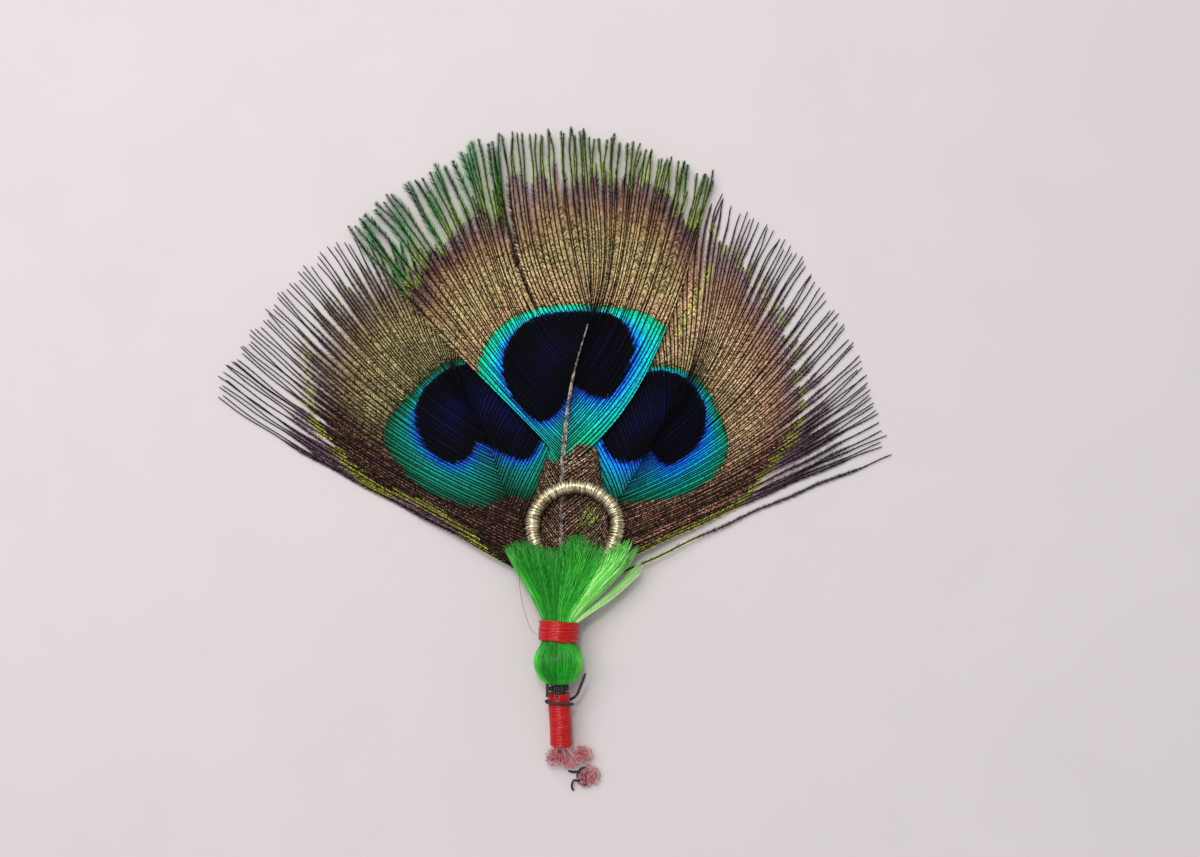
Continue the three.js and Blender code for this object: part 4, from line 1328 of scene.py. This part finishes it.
def loop_path():
    """The middle of the cord: an arch on the centre feather, with its legs led in and down into the silk."""
    turn = np.radians(np.arange(180, -1, -20))
    arch = np.array(LOOP_MIDDLE) + np.array(LOOP_HALF) * heading(turn)
    left_leg = [(-0.2, -19.0), (-1.3, -17.2), (-2.2, -15.2)]
    right_leg = [(8.6, -15.4), (7.4, -17.2), (6.2, -19.0)]
    flat = np.vstack([left_leg, arch, right_leg])
    return curve(np.column_stack([flat, lifted(flat, CENTRE_Z) + LOOP_GAP + LOOP_CORD]), 0.3)


def gold_paint():
    paint = Paint("gold_wire", 0.3, metallic=0.85)
    # The wire's colour runs from dark gold to near white by its light mark and a fine noise: painted glints.
    shade = paint.maths("ADD", paint.mark("light"), paint.scaled(paint.noise(2200.0), 1.2, -0.6))
    colour = paint.mix(shade, (0.62, 0.54, 0.36), (1.0, 0.97, 0.86))
    return paint.finish(colour, paint.fit(paint.noise(1700.0), 0.35, 0.65, 0.16, 0.4))


def make_loop():
    """Fine gold wire wound unevenly over a cord."""
    chance = np.random.default_rng(SEED + 40)
    pile = Pile("light")
    axis = loop_path()
    radius = LOOP_CORD - LOOP_WIRE + 0.06
    turns = along(axis)[-1] / LOOP_TURN_PITCH
    add_core(pile, axis, radius - 0.1, (0, 0, 1, 0.1))
    path = coil(axis, radius, turns, LOOP_PER_TURN)
    middle = coil(axis, 0.0, turns, LOOP_PER_TURN)
    # The wire swells and sinks as it goes round, and its turns slip along the cord.
    knots = chance.normal(0, 1, (3, int(turns * 4) + 3))
    where = np.linspace(0, knots.shape[1] - 1, len(path))
    swell, slip, light = (np.interp(where, np.arange(knots.shape[1]), row) for row in knots)
    path = path + 0.05 * swell[:, None] * unit(path - middle) + 0.09 * slip[:, None] * ahead_of(middle)
    thick = LOOP_WIRE * np.clip(1 + 0.2 * swell, 0.6, 1.3)
    # Its light mark, lighter and darker along the wire, is for the painted glints.
    light = np.clip(0.5 + 0.3 * light, 0, 1)
    pile.add_tubes(path[None], thick, 6, (0, 0.1, 1, 1), row=LOOP_PER_TURN * 6, light=light)
    pile.build("gold_coil", [gold_paint()], "gold_loop")


# ================= the stage =================
def make_floor():
    bpy.ops.mesh.primitive_plane_add(size=3.0, location=(0, 0, -0.00002))
    floor = bpy.context.object
    floor.name = "floor"
    paint = Paint("floor", 0.85, specular=0.2)
    dim = tuple(0.97 * c for c in FLOOR_COLOUR)
    colour = paint.mix(paint.noise(60.0, 4.0), dim, FLOOR_COLOUR)
    floor.data.materials.append(paint.finish(colour))
    return floor


def make_light(name, size, watts, place):
    """A rectangle of light that faces the object."""
    data = bpy.data.lights.new(name, "AREA")
    data.shape = "RECTANGLE"
    data.size, data.size_y = size
    data.energy = watts
    data.color = (1.0, 0.985, 0.97)
    light = bpy.data.objects.new(name, data)
    light.location = place
    light.rotation_euler = mathutils.Vector(place).to_track_quat("Z", "Y").to_euler()
    bpy.context.scene.collection.objects.link(light)
    return light


def make_stage():
    scene = bpy.context.scene
    scene.view_settings.view_transform = "Standard"
    panel = make_light("sky_panel", (0.5, 0.4), 1.7, (-0.16, 0.14, 0.42))
    lamp = make_light("lamp", (0.05, 0.05), 0.5, (-0.03, 0.16, 0.5))
    make_floor()
    scene.world = bpy.data.worlds.new("room")
    scene.world.use_nodes = True
    sky = scene.world.node_tree.nodes["Background"]
    sky.inputs["Color"].default_value = (0.95, 0.97, 1.0, 1.0)
    sky.inputs["Strength"].default_value = 0.5


def make_camera():
    data = bpy.data.cameras.new("camera")
    data.sensor_width = SENSOR
    data.lens = LENS
    data.clip_start = 0.005
    camera = bpy.data.objects.new("camera", data)
    back = VIEW_DISTANCE * math.sin(VIEW_TILT)
    up = VIEW_DISTANCE * math.cos(VIEW_TILT)
    camera.location = (VIEW_CENTRE[0] * MM, (VIEW_CENTRE[1] - back) * MM, up * MM)
    camera.rotation_euler = (VIEW_TILT, 0, 0)
    bpy.context.scene.collection.objects.link(camera)
    bpy.context.scene.camera = camera


make_stage()
make_camera()
make_feathers()
make_tuft()
make_loop()
red_thread = thread_paint("red_thread", (0.86, 0.01, 0.015), 0.2, light=0.25)
black_thread = thread_paint("black_thread", (0.03, 0.036, 0.036), 0.5)
frayed_red = thread_paint("frayed_red", (1.0, 0.16, 0.24), 0.6, light=1.9)
make_neck_band(red_thread)
make_stem_wrap(red_thread)
make_bulb_tie(black_thread)
make_stem_tie(black_thread)
make_end_knot(black_thread)
make_thread_ends(frayed_red)
